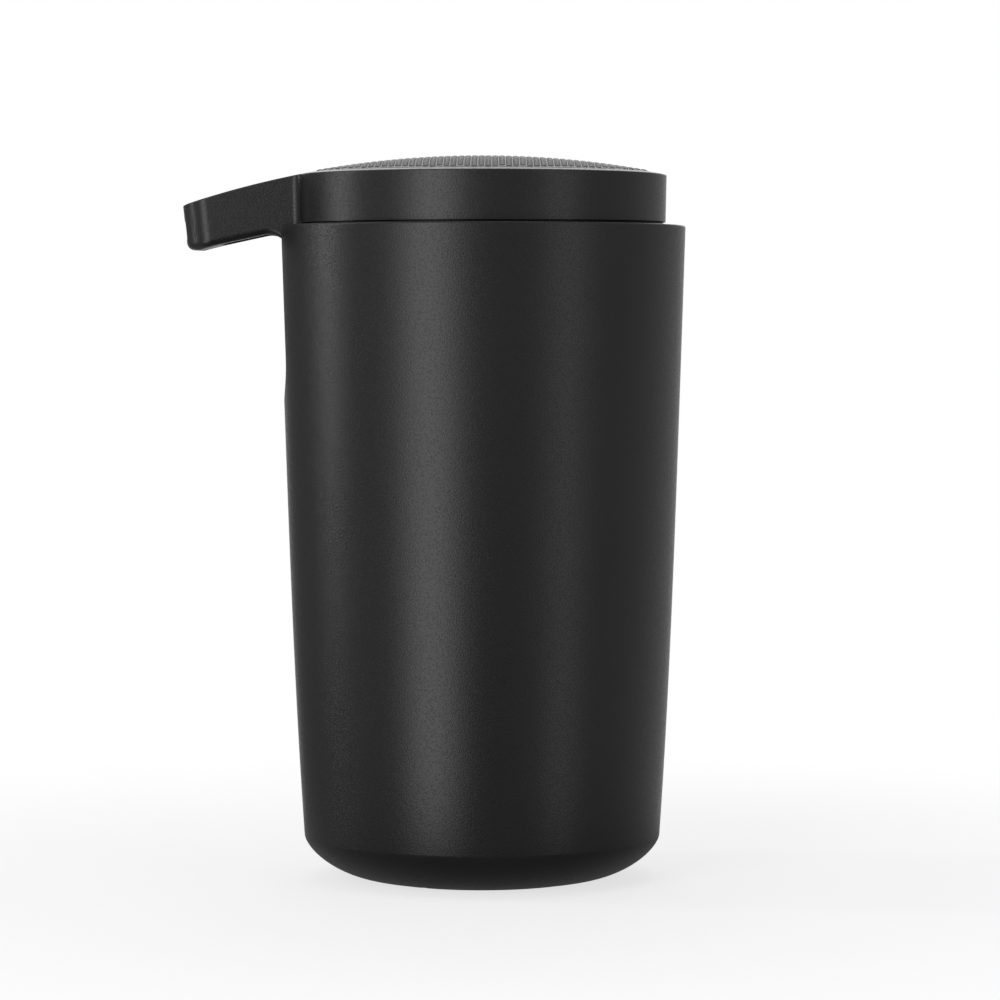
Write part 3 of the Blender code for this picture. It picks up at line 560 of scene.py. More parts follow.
# The cap's rings from the middle of the pad's seat, over the top, down the side with its groove, round
# the lower edge, up inside and across the ceiling with the boss that holds the pump's socket.
def makeCap():
    edgeRound, lipRound, ceilingDrop = cap["edgeRound"], cap["lipRound"], cap["topThickness"]
    edge = outerPlan(cap["radius"], spout["reach"], edgeRound)
    edgeLevel = dome(edge)
    ways = edge / np.linalg.norm(edge, axis=1)[:, None]
    rings = [domeRing(ways * cap["padSeat"] * share, cap["padSeatDepth"])
             for share in (0.25, 0.6, 0.95, 1)]
    rings += [domeRing(ways * (cap["padSeat"] + push), drop) for drop, push in cap["seatWall"]]
    seat = rings[-1][:, :2]
    rings += [domeRing(seat + (edge - seat) * share)
              for share in (0.03, 0.1, 0.25, 0.45, 0.65, 0.82, 0.93, 0.98)]
    for angle in np.linspace(0, math.pi / 2, 8):
        plan = capSide(edgeLevel, edgeRound * (1 - math.sin(angle)))
        rings.append(capRing(plan, edgeLevel - edgeRound * (1 - math.cos(angle))))
    outer = capSide(np.full(len(edge), spout["tipBottom"]))
    foot = capUnderside(outer, outer)
    # the lower edge is rounded a little on the skirt and more under the spout
    onSpout = smoothStep(np.hypot(*outer.T), cap["radius"], spout["bellyReach"])
    lipHeight = lipRound + (spout["lipHeight"] - lipRound) * onSpout
    lipWidth = lipRound + (spout["lipWidth"] - lipRound) * onSpout
    top, bottom = edgeLevel - edgeRound, foot + lipHeight
    rings += [sideRing(top + (bottom - top) * share) for share in (0.02, 0.08, 0.2, 0.35)]
    # a narrow groove round the skirt, which ends at the spout's root
    onSkirt = 1 - smoothStep(np.hypot(*outer.T) - outer[0, 0], 0.01, 0.2)
    lineShare = np.clip((top - cap["lineLevel"]) / (top - bottom), *cap["lineLimits"])
    for lift, depth in cap["lineProfile"]:
        levels = top + (bottom - top) * lineShare + lift * cap["lineHalf"]
        side, inset = capSide(levels), capSide(levels, 1)
        share = depth * cap["lineDepth"] * onSkirt
        rings.append(capRing(side + (inset - side) * share[:, None], levels))
    rings += [sideRing(top + (bottom - top) * share) for share in (0.5, 0.65, 0.8, 0.92, 0.98, 1)]
    for angle in np.linspace(0, math.pi / 2, 10)[1:]:
        levels = foot + lipHeight * (1 - math.sin(angle))
        side, inset = capSide(levels), capSide(levels, spout["lipWidth"])
        share = lipWidth * (1 - math.cos(angle)) / spout["lipWidth"]
        rings.append(capRing(side + (inset - side) * share[:, None], levels))
    inner = capSide(np.full(len(edge), cap["foot"]), inner=True)
    innerFoot = capUnderside(inner, outer)
    ceilingLevel = dome(capSide(dome(inner, ceilingDrop), inner=True), ceilingDrop)
    innerLip = sideRing(innerFoot, inner=True)
    rings += [(rings[-1] + innerLip) / 2, innerLip]
    rings += [sideRing(innerFoot + (ceilingLevel - innerFoot) * share, inner=True)
              for share in (0.04, 0.2, 0.5, 0.8, 0.96, 1)]
    flat = ways * (cap["radius"] - cap["draft"] - cap["wall"])
    rings += [domeRing(flat * share, ceilingDrop) for share in (0.97, 0.7, 0.45)]
    bossOuter, bossBore = ways * cap["bossOuter"], ways * cap["bossBore"]
    bossLevel = dome(np.zeros(2), ceilingDrop) - cap["bossLength"]
    rings += [domeRing(bossOuter, ceilingDrop), capRing(bossOuter, bossLevel),
              capRing(bossBore, bossLevel), domeRing(bossBore, ceilingDrop),
              domeRing(bossBore * 0.5, ceilingDrop)]
    poles = [np.array([[0, 0, dome(np.zeros(2), drop)]]) for drop in (cap["padSeatDepth"], ceilingDrop)]
    return makePiece("cap_shell", ringSkin(np.array(rings), *poles), "black_shell")


# Cuts or joins a made mesh with another one, which is then gone, and clears slivers from the result.
def combine(piece, tool, operation, mergeSize=0.002, sliverSize=0.001):
    modifier = piece.modifiers.new(operation, "BOOLEAN")
    modifier.object, modifier.operation, modifier.solver = tool, operation, "EXACT"
    view = bpy.context.evaluated_depsgraph_get()
    result = bpy.data.meshes.new_from_object(piece.evaluated_get(view))
    piece.modifiers.clear()
    edit = bmesh.new()
    edit.from_mesh(result)
    bmesh.ops.remove_doubles(edit, verts=edit.verts, dist=mergeSize * mm)
    bmesh.ops.dissolve_degenerate(edit, edges=edit.edges, dist=sliverSize * mm)
    edit.to_mesh(result)
    edit.free()
    piece.data = result
    bpy.data.objects.remove(tool)


# outlet in the spout's front
outlet = {
    "portLevel": 129.2, "height": 124.2, "halfWidth": 2.3, "halfHeight": 1.85, "power": 5.0,
    "gap": 0.05, "recess": 0.75, "length": 5.5, "bore": 1.4, "edgeRound": 0.25, "cutMargin": (3, 2),
}
outletFall = math.atan2(outlet["portLevel"] - outlet["height"], spout["reach"])


# Rings of a superellipse along the outlet's axis, which falls from the port level to the outlet's
# height. Each section is (distance along the axis, half width, half height, power).
def outletRings(sections, columns=64):
    along = np.array([-math.cos(outletFall), 0, -math.sin(outletFall)])
    up = np.array([-math.sin(outletFall), 0, math.cos(outletFall)])
    turn = (np.arange(columns) + 0.5) * math.tau / columns
    rings = []
    for distance, halfWidth, halfHeight, power in sections:
        side = np.sign(np.cos(turn)) * np.abs(np.cos(turn)) ** (2 / power) * halfWidth
        rise = np.sign(np.sin(turn)) * np.abs(np.sin(turn)) ** (2 / power) * halfHeight
        rings.append(along * distance + np.array([0, 0, outlet["portLevel"]])
                     + side[:, None] * [0, 1, 0] + rise[:, None] * up)
    return np.array(rings)


# Cuts the outlet's pocket into the spout and sets the nozzle in it: a block with rounded lips and a
# round bore, as one closed loop of sections.
def makeOutlet(shell):
    wide, high, power = outlet["halfWidth"], outlet["halfHeight"], outlet["power"]
    face, length = spout["reach"] / math.cos(outletFall), outlet["length"]
    behind, before = outlet["cutMargin"]
    pocket = outletRings([(face - length - behind, wide, high, power),
                          (face + before, wide, high, power)])
    combine(shell, makePiece("outlet_cutter", cappedSkin(pocket), "black_shell"), "DIFFERENCE")
    place(shell, "head", "press_cap")
    wide, high = wide - outlet["gap"], high - outlet["gap"]
    end, lip, bore = face - outlet["recess"], outlet["edgeRound"], outlet["bore"]
    angles = np.linspace(0, math.pi / 2, 5)
    sections = [(end - length, wide, high, power)]
    for angle in angles:
        back, inwards = lip * (1 - math.sin(angle)), lip * (1 - math.cos(angle))
        sections.append((end - back, wide - inwards, high - inwards, power))
    for angle in angles:
        back, outwards = lip * (1 - math.cos(angle)), lip * (1 - math.sin(angle))
        sections.append((end - back, bore + outwards, bore + outwards, 2.0))
    sections.append((end - length, bore, bore, 2.0))
    makePiece("outlet_nozzle", ringSkin(outletRings(sections)), "black_shell", "head", "nozzle_tip")


makeOutlet(makeCap())


# grip disc with raised dots
grip = {
    "radius": 32.9, "thickness": 1.0, "edgeRound": 0.16, "edgeBend": (0.4, 1.57), "flatRings": 14,
    "dotPitch": 1.284, "dotRadius": 0.64, "dotHeight": 0.195, "dotSink": 0.05, "dottedRadius": 32.6,
    # a dot's rings above its foot, as shares of its radius and height
    "dotSides": 8, "dotProfile": ((0.86, 0.4), (0.64, 0.76), (0.34, 0.95)),
}


# The disc follows the cap's sphere. The dots stand on it in columns along Y, every other column
# shifted by half a step; each is a low mound, sunk a little at its edge.
def makeGrip():
    radius, thickness, height, sink = (
        grip[key] for key in ("radius", "thickness", "dotHeight", "dotSink"))
    flat = np.linspace(0, radius - grip["edgeRound"], grip["flatRings"])[1:]
    bend = np.linspace(*grip["edgeBend"], 4)
    radii = np.concatenate([flat, radius - grip["edgeRound"] * (1 - np.sin(bend))])
    drops = np.concatenate([np.zeros(len(flat)), grip["edgeRound"] * (1 - np.cos(bend))])
    under = np.array([radius, radius * 0.5])
    middle = dome(np.zeros(2))
    outline = np.concatenate([[[0, middle]], pairs(radii, dome(pairs(radii, 0.0)) - drops),
                              pairs(under, dome(pairs(under, 0.0)) - thickness),
                              [[0, middle - thickness]]])
    points, quads, triangles = turnedSkin(outline, 240)
    # the dots' centres, in whole columns and rows
    count = int(grip["dottedRadius"] / grip["dotPitch"])
    steps = np.arange(-count, count + 1)
    column, row = np.meshgrid(steps, steps, indexing="ij")
    centres = pairs(column, (row + 0.5 * (column % 2)) * 2 / math.sqrt(3)).reshape(-1, 2)
    centres = centres * grip["dotPitch"]
    centres = centres[np.hypot(*centres.T) < grip["dottedRadius"] - grip["dotRadius"]]
    # one dot's rings, then all the dots at once
    sides, rows = grip["dotSides"], 1 + len(grip["dotProfile"])
    turn = np.linspace(0, math.tau, sides, endpoint=False)
    shares = np.array([1.0] + [across for across, _ in grip["dotProfile"]])
    rise = np.array([-sink] + [up * height for _, up in grip["dotProfile"]])[:, None]
    plan = pairs(np.cos(turn), np.sin(turn)) * grip["dotRadius"] * shares[:, None, None]
    plan = plan[None] + centres[:, None, None]
    mounds = np.concatenate([plan, (dome(plan) + rise)[..., None]], axis=-1)
    feet, tops = (np.column_stack([centres, dome(centres) + lift])[:, None]
                  for lift in (-2 * sink, height))
    mounds = np.concatenate([mounds.reshape(len(centres), -1, 3), feet, tops], axis=1)
    pole = np.zeros((1, 3))
    _, dotQuads, dotTriangles = ringSkin(np.zeros((rows, sides, 3)), pole, pole)
    starts = len(points) + np.arange(len(centres))[:, None, None] * mounds.shape[1]
    skin = (np.concatenate([points, mounds.reshape(-1, 3)]),
            np.concatenate([quads[:, ::-1], (dotQuads[None] + starts).reshape(-1, 4)]),
            np.concatenate([triangles[:, ::-1], (dotTriangles[None] + starts).reshape(-1, 3)]))
    makePiece("grip_disc", skin, "grip", "head", "grip_pad")


makeGrip()
print("outer pieces made")


# Splits the long stretches of a closed outline, so that no step is longer than a limit.
def densified(outline, limit):
    ends = np.vstack([outline, outline[:1]])
    counts = np.ceil(np.linalg.norm(np.diff(ends, axis=0), axis=1) / limit).astype(int).clip(1)
    return np.concatenate([start + (end - start) * (np.arange(count) / count)[:, None]
                           for start, end, count in zip(ends, ends[1:], counts)])


# inner bottle
bottle = {
    "foot": span("inner_bottle")[0][2], "neckTop": span("inner_bottle")[1][2],
    "sideGap": 1.0, "wall": 1.4, "sideTop": 86.0, "shoulderRise": 9.2,
    "neckRadius": 16.5, "neckBore": 14.5, "lipRound": 0.45,
    "cornerHeight": 7.0, "cornerWidth": 9.0, "cornerPower": 2.0,
    "seamHeight": 0.07, "seamHalfWidths": (0.1, 0.35),
}
thread = {
    "low": 97.9, "pitch": 4.0, "turns": 2, "height": 0.8, "crestHalf": 0.3, "footHalf": 0.95,
    "runOut": 0.12, "nutHeight": 0.5,
}
nearly = 0.01   # how closely a radius has to match a wall for the wall's relief to be put on it


# A screw ridge from 0 to 1: a helix that climbs one pitch a turn and fades out at both ends.
def screwRidge(height, turn, low):
    climb = turn / math.tau
    lap = np.clip(np.round((height - low) / thread["pitch"] - climb), 0, thread["turns"] - 1)
    along = climb + lap
    off = np.abs(height - low - thread["pitch"] * along)
    last = thread["turns"] - thread["runOut"]
    ends = smoothStep(along, 0, thread["runOut"]) * (1 - smoothStep(along, last, thread["turns"]))
    return (1 - smoothStep(off, thread["crestHalf"], thread["footHalf"])) * ends


# The cup's inner radius at a height, less the gap.
def bottleRadius(height):
    return cupRadius(height) - cup["wall"] - bottle["sideGap"]


# A quarter of an ellipse from the side up to the neck.
def shoulderCurve(outer, inner, rise):
    angle = np.linspace(math.pi / 2, 0, 16)
    return pairs(inner + (outer - inner) * np.sin(angle), bottle["sideTop"] + rise * np.cos(angle))


# The bottle's radius: the thread's ridge on the neck and a faint mould seam on two sides.
def bottleShape(radius, height, turn):
    onNeck = np.abs(radius - bottle["neckRadius"]) < nearly
    cornerTop = bottle["foot"] + bottle["cornerHeight"]
    onSide = (radius > bottleRadius(height) - nearly) & (height > cornerTop)
    ridge = thread["height"] * screwRidge(height, turn, thread["low"])
    off = np.abs(np.sin(turn)) * radius
    seam = bottle["seamHeight"] * (1 - smoothStep(off, *bottle["seamHalfWidths"]))
    return radius + np.where(onNeck, ridge, 0) + np.where(onSide, seam, 0)


# The bottle's outline, turned: foot, corner, side, shoulder and neck outside, over the lip, and the
# same inside at the wall's thickness.
def makeBottle():
    wall, foot, lip = bottle["wall"], bottle["foot"], bottle["lipRound"]
    neckRadius, neckBore, neckTop = bottle["neckRadius"], bottle["neckBore"], bottle["neckTop"]
    cornerTop, topRadius = foot + bottle["cornerHeight"], bottleRadius(bottle["sideTop"])
    levels = np.linspace(cornerTop, bottle["sideTop"], 30)
    side = pairs(bottleRadius(levels), levels)[1:-1]
    neck = np.linspace(bottle["sideTop"] + bottle["shoulderRise"], neckTop - lip, 70)[1:]
    angle = np.linspace(0, math.pi / 2, 5)
    outerLip = pairs(neckRadius - lip * (1 - np.cos(angle)), neckTop - lip * (1 - np.sin(angle)))[1:]
    innerLip = pairs(neckBore + lip * (1 - np.sin(angle)), neckTop - lip * (1 - np.cos(angle)))[::-1]

    def corner(depth, count):
        return cornerCurve(bottleRadius(cornerTop) - depth, foot + depth, bottle["cornerWidth"] - depth,
                           bottle["cornerHeight"] - depth, bottle["cornerPower"], count)[::-1]
    outer = np.concatenate([corner(0, 18), side,
                            shoulderCurve(topRadius, neckRadius, bottle["shoulderRise"]),
                            pairs(neckRadius, neck), outerLip])
    inner = np.concatenate([corner(wall, 14), side - (wall, 0),
                            shoulderCurve(topRadius - wall, neckBore, bottle["shoulderRise"] - wall),
                            [[neckBore, neckTop - 3 * lip]]])[::-1]
    outline = np.concatenate([[[0, foot], [outer[0, 0] * 0.5, foot]], outer, innerLip, inner,
                              [[inner[-1, 0] * 0.5, foot + wall], [0, foot + wall]]])
    makePiece("bottle_shell", turnedSkin(outline, 300, bottleShape), "bottle_plastic", "bottle",
              "inner_bottle")


makeBottle()


# screw collar
collar = {
    "top": span("screw_collar")[1][2], "foot": span("screw_collar")[0][2],
    "radius": span("screw_collar")[1][0], "wall": 2.0, "topThickness": 1.6, "hole": 8.8,
    "ribs": 36, "ribDepth": 0.5, "ribPower": 0.7, "ribEnds": (0.5, 1.4), "ribMargin": 0.2,
    "outerRound": 0.8, "edgeRound": 0.3, "holeRound": 0.2, "longestStep": 0.4,
}


# The collar's radius: upright round ribs on the skirt and a shallow screw ridge in its bore, half a
# pitch above the bottle's.
def collarShape(radius, height, turn):
    near, far = collar["ribEnds"]
    ribTop = collar["top"] - collar["topThickness"]
    ribbed = smoothStep(height, collar["foot"] + near, collar["foot"] + far) \
        * (1 - smoothStep(height, ribTop - far, ribTop - near))
    groove = collar["ribDepth"] * (0.5 - 0.5 * np.cos(collar["ribs"] * turn)) ** collar["ribPower"]
    ridge = thread["nutHeight"] * screwRidge(height, turn, thread["low"] + thread["pitch"] / 2)
    onSkirt = radius > collar["radius"] - collar["ribMargin"]
    inBore = np.abs(radius - collar["radius"] + collar["wall"]) < nearly
    return radius - np.where(onSkirt, groove * ribbed, 0) - np.where(inBore, ridge, 0)


# The collar's closed outline, turned.
def makeCollar():
    radius, top, foot, hole = (collar[key] for key in ("radius", "top", "foot", "hole"))
    bore, ceiling = radius - collar["wall"], top - collar["topThickness"]
    outerRound, edgeRound, holeRound = collar["outerRound"], collar["edgeRound"], collar["holeRound"]
    outline = rounded([(hole, top, edgeRound), (bore, top, outerRound), (radius, ceiling, outerRound),
                       (radius, foot, edgeRound), (bore, foot, edgeRound), (bore, ceiling, edgeRound),
                       (hole, ceiling, holeRound)])
    skin = turnedSkin(densified(outline, collar["longestStep"]), collar["ribs"] * 8, collarShape)
    makePiece("collar_ring", skin, "graphite_plastic", "collar", "screw_collar")


makeCollar()


# pump pieces that are turned
pump = {
    "flangeFoot": 108.6, "barrel": 8.4, "bore": 7.2, "ledge": 69.0, "coneFoot": 63.2,
    "socketRadius": 4.2, "socketBore": 2.9, "socketTop": 61.0, "throat": 1.4, "seatFoot": 62.6,
    "chamber": 3.3, "chamberFoot": 64.5, "guideRadius": 11.0, "guideFlange": 1.2, "slideGap": 0.3,
    "stemRadius": 3.5, "stemBore": 1.5, "valveSeat": 117.4, "valveFoot": 118.5, "valveBore": 2.6,
    "cageHole": 1.2, "cageFlange": 1.0, "plugFlange": 1.6, "plugRadius": 5.8, "plugHole": 0.7,
    "plugSpigot": 1.2, "sealLip": 1.6, "sealWaist": 0.8, "retainerRadius": 2.3, "retainerHole": 1.0,
    "tubeRadius": 2.6, "tubeBore": 1.7,
}


# Turns a closed outline of (radius, height, rounding) corners into a piece. The outline is worked out
# from the foot, top and outer radius of the piece's CAD node.
def makeTurned(name, node, body, slot, columns, outline):
    low, high = span(node)
    skin = turnedSkin(rounded(outline(low[2], high[2], high[0])), columns)
    makePiece(name, skin, slot, body, node, sharpAngle=40)


# The corners of a plain tube, all rounded alike.
def tubeCorners(outer, bore, foot, top, rounding):
    corners = ((outer, top), (outer, foot), (bore, foot), (bore, top))
    return [(*corner, rounding) for corner in corners]


# The pump from the outside in: cylinder, guide, gasket, soap tube and cage, and what goes down with the
# cap: stem, plug, seal and retainer.
def makePumpPieces():
    p = pump
    slide, stemHole = p["bore"] - p["slideGap"], p["stemRadius"] + p["slideGap"]
    seat, waist, lip = p["chamber"] - p["slideGap"], p["sealWaist"], p["sealLip"]
    makeTurned("pump_barrel", "pump_housing", "pump", "natural_plastic", 160, lambda foot, top, radius: [
        (radius, top, 0.3), (radius, p["flangeFoot"], 0.3), (p["barrel"], p["flangeFoot"], 0.4),
        (p["barrel"], p["ledge"], 0.8), (p["socketRadius"], p["coneFoot"], 0.8),
        (p["socketRadius"], foot, 0.3), (p["socketBore"], foot, 0.3),
        (p["socketBore"], p["socketTop"], 0.1), (p["throat"], p["socketTop"], 0.1),
        (p["throat"], p["seatFoot"], 0.1), (p["chamber"], p["chamberFoot"], 0.2),
        (p["chamber"], p["ledge"], 0.2), (p["bore"], p["ledge"], 0.2), (p["bore"], top, 0.3)])
    makeTurned("guide_ring", "stem_guide", "pump", "graphite_plastic", 144, lambda foot, top, radius: [
        (p["guideRadius"], top, 0.35), (p["guideRadius"], top - p["guideFlange"], 0.2),
        (slide, top - p["guideFlange"], 0.2), (slide, foot, 0.4), (stemHole, foot, 0.3),
        (stemHole, top, 0.35)])
    makeTurned("gasket_ring", "neck_gasket", "pump", "foot_rubber", 144,
               lambda foot, top, radius: tubeCorners(radius, bottle["neckBore"], foot, top, 0.3))
    makeTurned("soap_tube", "dip_tube", "pump", "tube_plastic", 64,
               lambda foot, top, radius: tubeCorners(p["tubeRadius"], p["tubeBore"], foot, top, 0.2))
    makeTurned("valve_cage", "ball_cage", "pump", "natural_plastic", 96, lambda foot, top, radius: [
        (slide, top, 0.2), (slide, top - p["cageFlange"], 0.2), (seat, top - p["cageFlange"], 0.15),
        (seat, foot, 0.25), (p["cageHole"], foot, 0.25), (p["cageHole"], top, 0.25)])
    makeTurned("stem_rod", "piston_stem", "head", "natural_plastic", 96, lambda foot, top, radius: [
        (p["stemRadius"], top, 0.3), (p["stemRadius"], foot, 0.3), (p["stemBore"], foot, 0.2),
        (p["stemBore"], p["valveSeat"], 0.1), (p["valveBore"], p["valveFoot"], 0.2),
        (p["valveBore"], top, 0.2)])
    makeTurned("plug_piece", "stem_plug", "head", "natural_plastic", 80, lambda foot, top, radius: [
        (p["plugSpigot"], top, 0.15), (p["plugSpigot"], foot + p["plugFlange"], 0.1),
        (p["plugRadius"], foot + p["plugFlange"], 0.3), (p["plugRadius"], foot, 0.3),
        (p["plugHole"], foot, 0.15), (p["plugHole"], top, 0.15)])
    makeTurned("seal_ring", "piston_seal", "head", "seal_plastic", 120, lambda foot, top, radius: [
        (slide, top, 0.15), (slide, top - lip, 0.3), (slide - waist, top - lip - waist, 0.4),
        (slide - waist, foot + lip + waist, 0.4), (slide, foot + lip, 0.3), (slide, foot, 0.15),
        (stemHole, foot, 0.3), (stemHole, top, 0.3)])
    makeTurned("valve_retainer", "outlet_retainer", "head", "natural_plastic", 64,
               lambda foot, top, radius:
               tubeCorners(p["retainerRadius"], p["retainerHole"], foot, top, 0.2))


makePumpPieces()


# A check ball: half a circle turned round the axis.
def makeBall(name, node, body):
    low, high = span(node)
    radius, middle = (high[2] - low[2]) / 2, (high[2] + low[2]) / 2
    angle = np.linspace(0, math.pi, 33)
    outline = pairs(radius * np.sin(angle), middle + radius * np.cos(angle))
    outline[[0, -1], 0] = 0
    makePiece(name, turnedSkin(outline, 64), "ball_steel", body, node)


makeBall("inlet_valve_ball", "inlet_ball", "inlet_valve")
makeBall("outlet_valve_ball", "outlet_ball", "outlet_valve")


# return spring
spring = {
    "coilRadius": 4.5, "wireRadius": 0.44, "turns": 9.0, "closedTurns": (0.8, 1.5), "closedPitch": 0.96,
    "pointsPerTurn": 48, "sides": 14, "stroke": 8.0,
}


# A wire along a helix. Its pitch is a little over the wire's width in the closed turn at each end, and
# rises smoothly to the open pitch between them.
def makeSpring():
    low, high = span("return_spring")
    wire, length = spring["wireRadius"], high[2] - low[2]
    count = int(spring["turns"] * spring["pointsPerTurn"]) + 1
    laps = np.linspace(0, spring["turns"], count)
    near, far = spring["closedTurns"]
    opened = smoothStep(laps, near, far) * smoothStep(spring["turns"] - laps, near, far)
    step = laps[1]
    extra = (length - 2 * wire - spring["closedPitch"] * spring["turns"]) / (opened[1:].sum() * step)
    climb = np.concatenate([[0], np.cumsum(spring["closedPitch"] + extra * opened[1:]) * step])
    turn = laps * math.tau
    outward = np.stack([np.cos(turn), np.sin(turn), np.zeros(count)], axis=-1)
    middle = spring["coilRadius"] * outward + (low[2] + wire + climb)[:, None] * [0, 0, 1]
    tangent = np.gradient(middle, axis=0)
    tangent /= np.linalg.norm(tangent, axis=1)[:, None]
    upward = np.cross(tangent, outward)
    around = np.linspace(0, math.tau, spring["sides"], endpoint=False)[None, :, None]
    rings = middle[:, None] + wire * (np.cos(around) * outward[:, None]
                                      + np.sin(around) * upward[:, None])
    coil = makePiece("spring_coil", ringSkin(rings, middle[:1], middle[-1:]), "spring_steel", "pump",
                     "return_spring")
    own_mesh(coil)


makeSpring()


# actuator and soap tube under the cap
actuator = {
    "radius": span("pump_actuator")[1][0], "foot": span("pump_actuator")[0][2],
    "top": span("pump_actuator")[1][2],
    "socketBore": 3.8, "socketTop": 127.3, "cavityBore": 2.4, "cavityTop": 131.5,
    "nippleRadius": 3.3, "nippleReach": 9.0, "nippleEdge": ((0.3, 0), (0.09, 0.09), (0, 0.3)),
    "portRadius": 2.3,
    "tubeRadius": 2.0, "tubeBore": 1.4, "tubeStart": 6.0, "tubeEndGap": 0.4, "tubeSeam": 0.3,
}


# Rings of a round rod along the outlet's axis, from sections of (distance, radius).
def slopedRod(sections):
    return outletRings([(distance, radius, radius, 2.0) for distance, radius in sections])


# The socket is a turned cup, open below, joined with a sloping nipple and bored through along it. The
# tube is a closed loop of sections along the same slope.
def makeActuator():
    a = actuator
    outline = rounded([(0, a["top"], 0), (a["radius"], a["top"], 0.3), (a["radius"], a["foot"], 0.35),
                       (a["socketBore"], a["foot"], 0.4), (a["socketBore"], a["socketTop"], 0.15),
                       (a["cavityBore"], a["socketTop"], 0.15), (a["cavityBore"], a["cavityTop"], 0.3),
                       (0, a["cavityTop"], 0)], closed=False)
    socket = makePiece("actuator_socket", turnedSkin(outline, 128), "graphite_plastic")
    reach, outer, port = a["nippleReach"], a["nippleRadius"], a["portRadius"]
    nipple = slopedRod([(port + 1, outer)]
                       + [(reach - back, outer - less) for back, less in a["nippleEdge"]])
    for name, rod, operation in (("nipple", nipple, "UNION"),
                                 ("port", slopedRod([(0, port), (reach + 1, port)]), "DIFFERENCE")):
        combine(socket, makePiece(name, cappedSkin(rod), "graphite_plastic"), operation)
    socket.data.set_sharp_from_angle(angle=math.radians(40))
    place(socket, "head", "pump_actuator")
    tube, bore, seam, start = a["tubeRadius"], a["tubeBore"], a["tubeSeam"], a["tubeStart"]
    end = spout["reach"] - outlet["length"] - outlet["recess"] - a["tubeEndGap"]
    rings = slopedRod([(start, bore), (start, tube), (start + seam, tube), (end - seam, tube),
                       (end, tube), (end, bore), (end - seam, bore), (start + seam, bore)])
    makePiece("spout_tube", ringSkin(rings), "tube_plastic", "head", "nozzle_tube")


makeActuator()
print("inner pieces made")


# studio
studio = {
    "floorRadius": 300, "floorColumns": 96, "floorFade": (70, 230), "glossFade": (50, 120),
    "floorGlow": 0.72, "floorTone": 0.94, "floorBounce": 0.12, "floorGloss": 0.15,
    "fill": 0.42, "backHalfAngle": (8, 24),
    # darker zones of the fill: direction, half angles where it begins and ends, and level
    "shades": {
        "spoutSide": ((-0.62, 0.76, -0.18), 16, 44, 0.4),
        "highFront": ((0, -0.6, 0.8), 18, 42, 0.25),
        "lowFront": ((0, -0.77, -0.64), 12, 34, 0.15),
    },
    # upright panels: azimuth from the camera's side towards +X, distance, width, lower and upper edge
    # above the floor in mm, and radiance
    "panels": {
        "leftStrip": (-96.5, 1100, 130, 0, 1400, 6.4),
        "keyBox": (-30, 1300, 575, -900, 1300, 3.3),
        "rightFill": (49, 1300, 300, -420, 1200, 1.4),
        "backBox": (180, 1300, 1100, 220, 2400, 1.1),
    },
    "topLevel": 1400, "topSize": 1300, "topRadiance": 0.8,
    "camera": (3.465, -769.2, 107.75), "cameraPitch": 2.62, "lens": 144, "sensor": 36,
}


# The sockets that say whether a ray is the camera's own, and whether it is a mirrored or refracted one.
def addRayMasks(tree):
    path = addNode(tree, "ShaderNodeLightPath").outputs
    mirrors = addMath(tree, "MAXIMUM", path["Is Glossy Ray"], path["Is Transmission Ray"])
    return path["Is Camera Ray"], mirrors


# The floor is a pale disc that keeps the object's shadow. To the camera it glows more and more away
# from the object, up to the background's white. To other rays it is darker, so that it throws little
# light up. Seen from below, and in mirrored light away from the object, it is clear.
def makeFloor():
    finish, tree, shader = newFinish("paleFloor")
    shader.inputs["Roughness"].default_value = 0.9
    shader.inputs["Specular IOR Level"].default_value = 0.1
    camera, mirrors = addRayMasks(tree)
    tone = addRange(tree, camera, 0.0, 1.0, studio["floorBounce"], studio["floorTone"])
    tree.links.new(tone, shader.inputs["Base Color"])
    away = addNode(tree, "ShaderNodeVectorMath", {0: addPlace(tree)}, operation="LENGTH")
    away = away.outputs["Value"]
    fadeStart, fadeEnd, glossStart, glossEnd = (
        distance * mm for distance in (*studio["floorFade"], *studio["glossFade"]))
    glow = addRange(tree, away, fadeStart, fadeEnd, studio["floorGlow"], kind="SMOOTHSTEP")
    seen = addMath(tree, "MULTIPLY", camera, glow)
    share = addMath(tree, "MULTIPLY_ADD", mirrors, studio["floorGloss"], seen)
    white = addNode(tree, "ShaderNodeEmission", {"Color": (1, 1, 1, 1), "Strength": 1.0})
    mixed = addNode(tree, "ShaderNodeMixShader", {0: share, 1: shader.outputs[0], 2: white.outputs[0]})
    faint = addRange(tree, away, glossStart, glossEnd, kind="SMOOTHSTEP")
    beyond = addMath(tree, "MULTIPLY", mirrors, faint)
    below = addNode(tree, "ShaderNodeNewGeometry").outputs["Backfacing"]
    hidden = addMath(tree, "MAXIMUM", below, beyond)
    clear = addNode(tree, "ShaderNodeBsdfTransparent")
    partly = addNode(tree, "ShaderNodeMixShader", {0: hidden, 1: mixed.outputs[0], 2: clear.outputs[0]})
    tree.links.new(partly.outputs[0], tree.nodes["Material Output"].inputs["Surface"])
    columns = studio["floorColumns"]
    rings = turnedRings(pairs(studio["floorRadius"] * np.array([1, 0.5]), 0.0), columns)
    points = np.vstack([rings.reshape(-1, 3), [[0, 0, 0]]])
    index = np.arange(columns)
    ahead = np.roll(index, -1)
    quads = np.stack([index, ahead, ahead + columns, index + columns], axis=-1)
    fan = np.stack([index + columns, ahead + columns, np.full(columns, 2 * columns)], axis=-1)
    mesh = bpy.data.meshes.new("floor")
    mesh.from_pydata((points * mm).tolist(), [], quads.tolist() + fan.tolist())
    floor = newObject("floor", mesh)
    mesh.materials.append(finish)


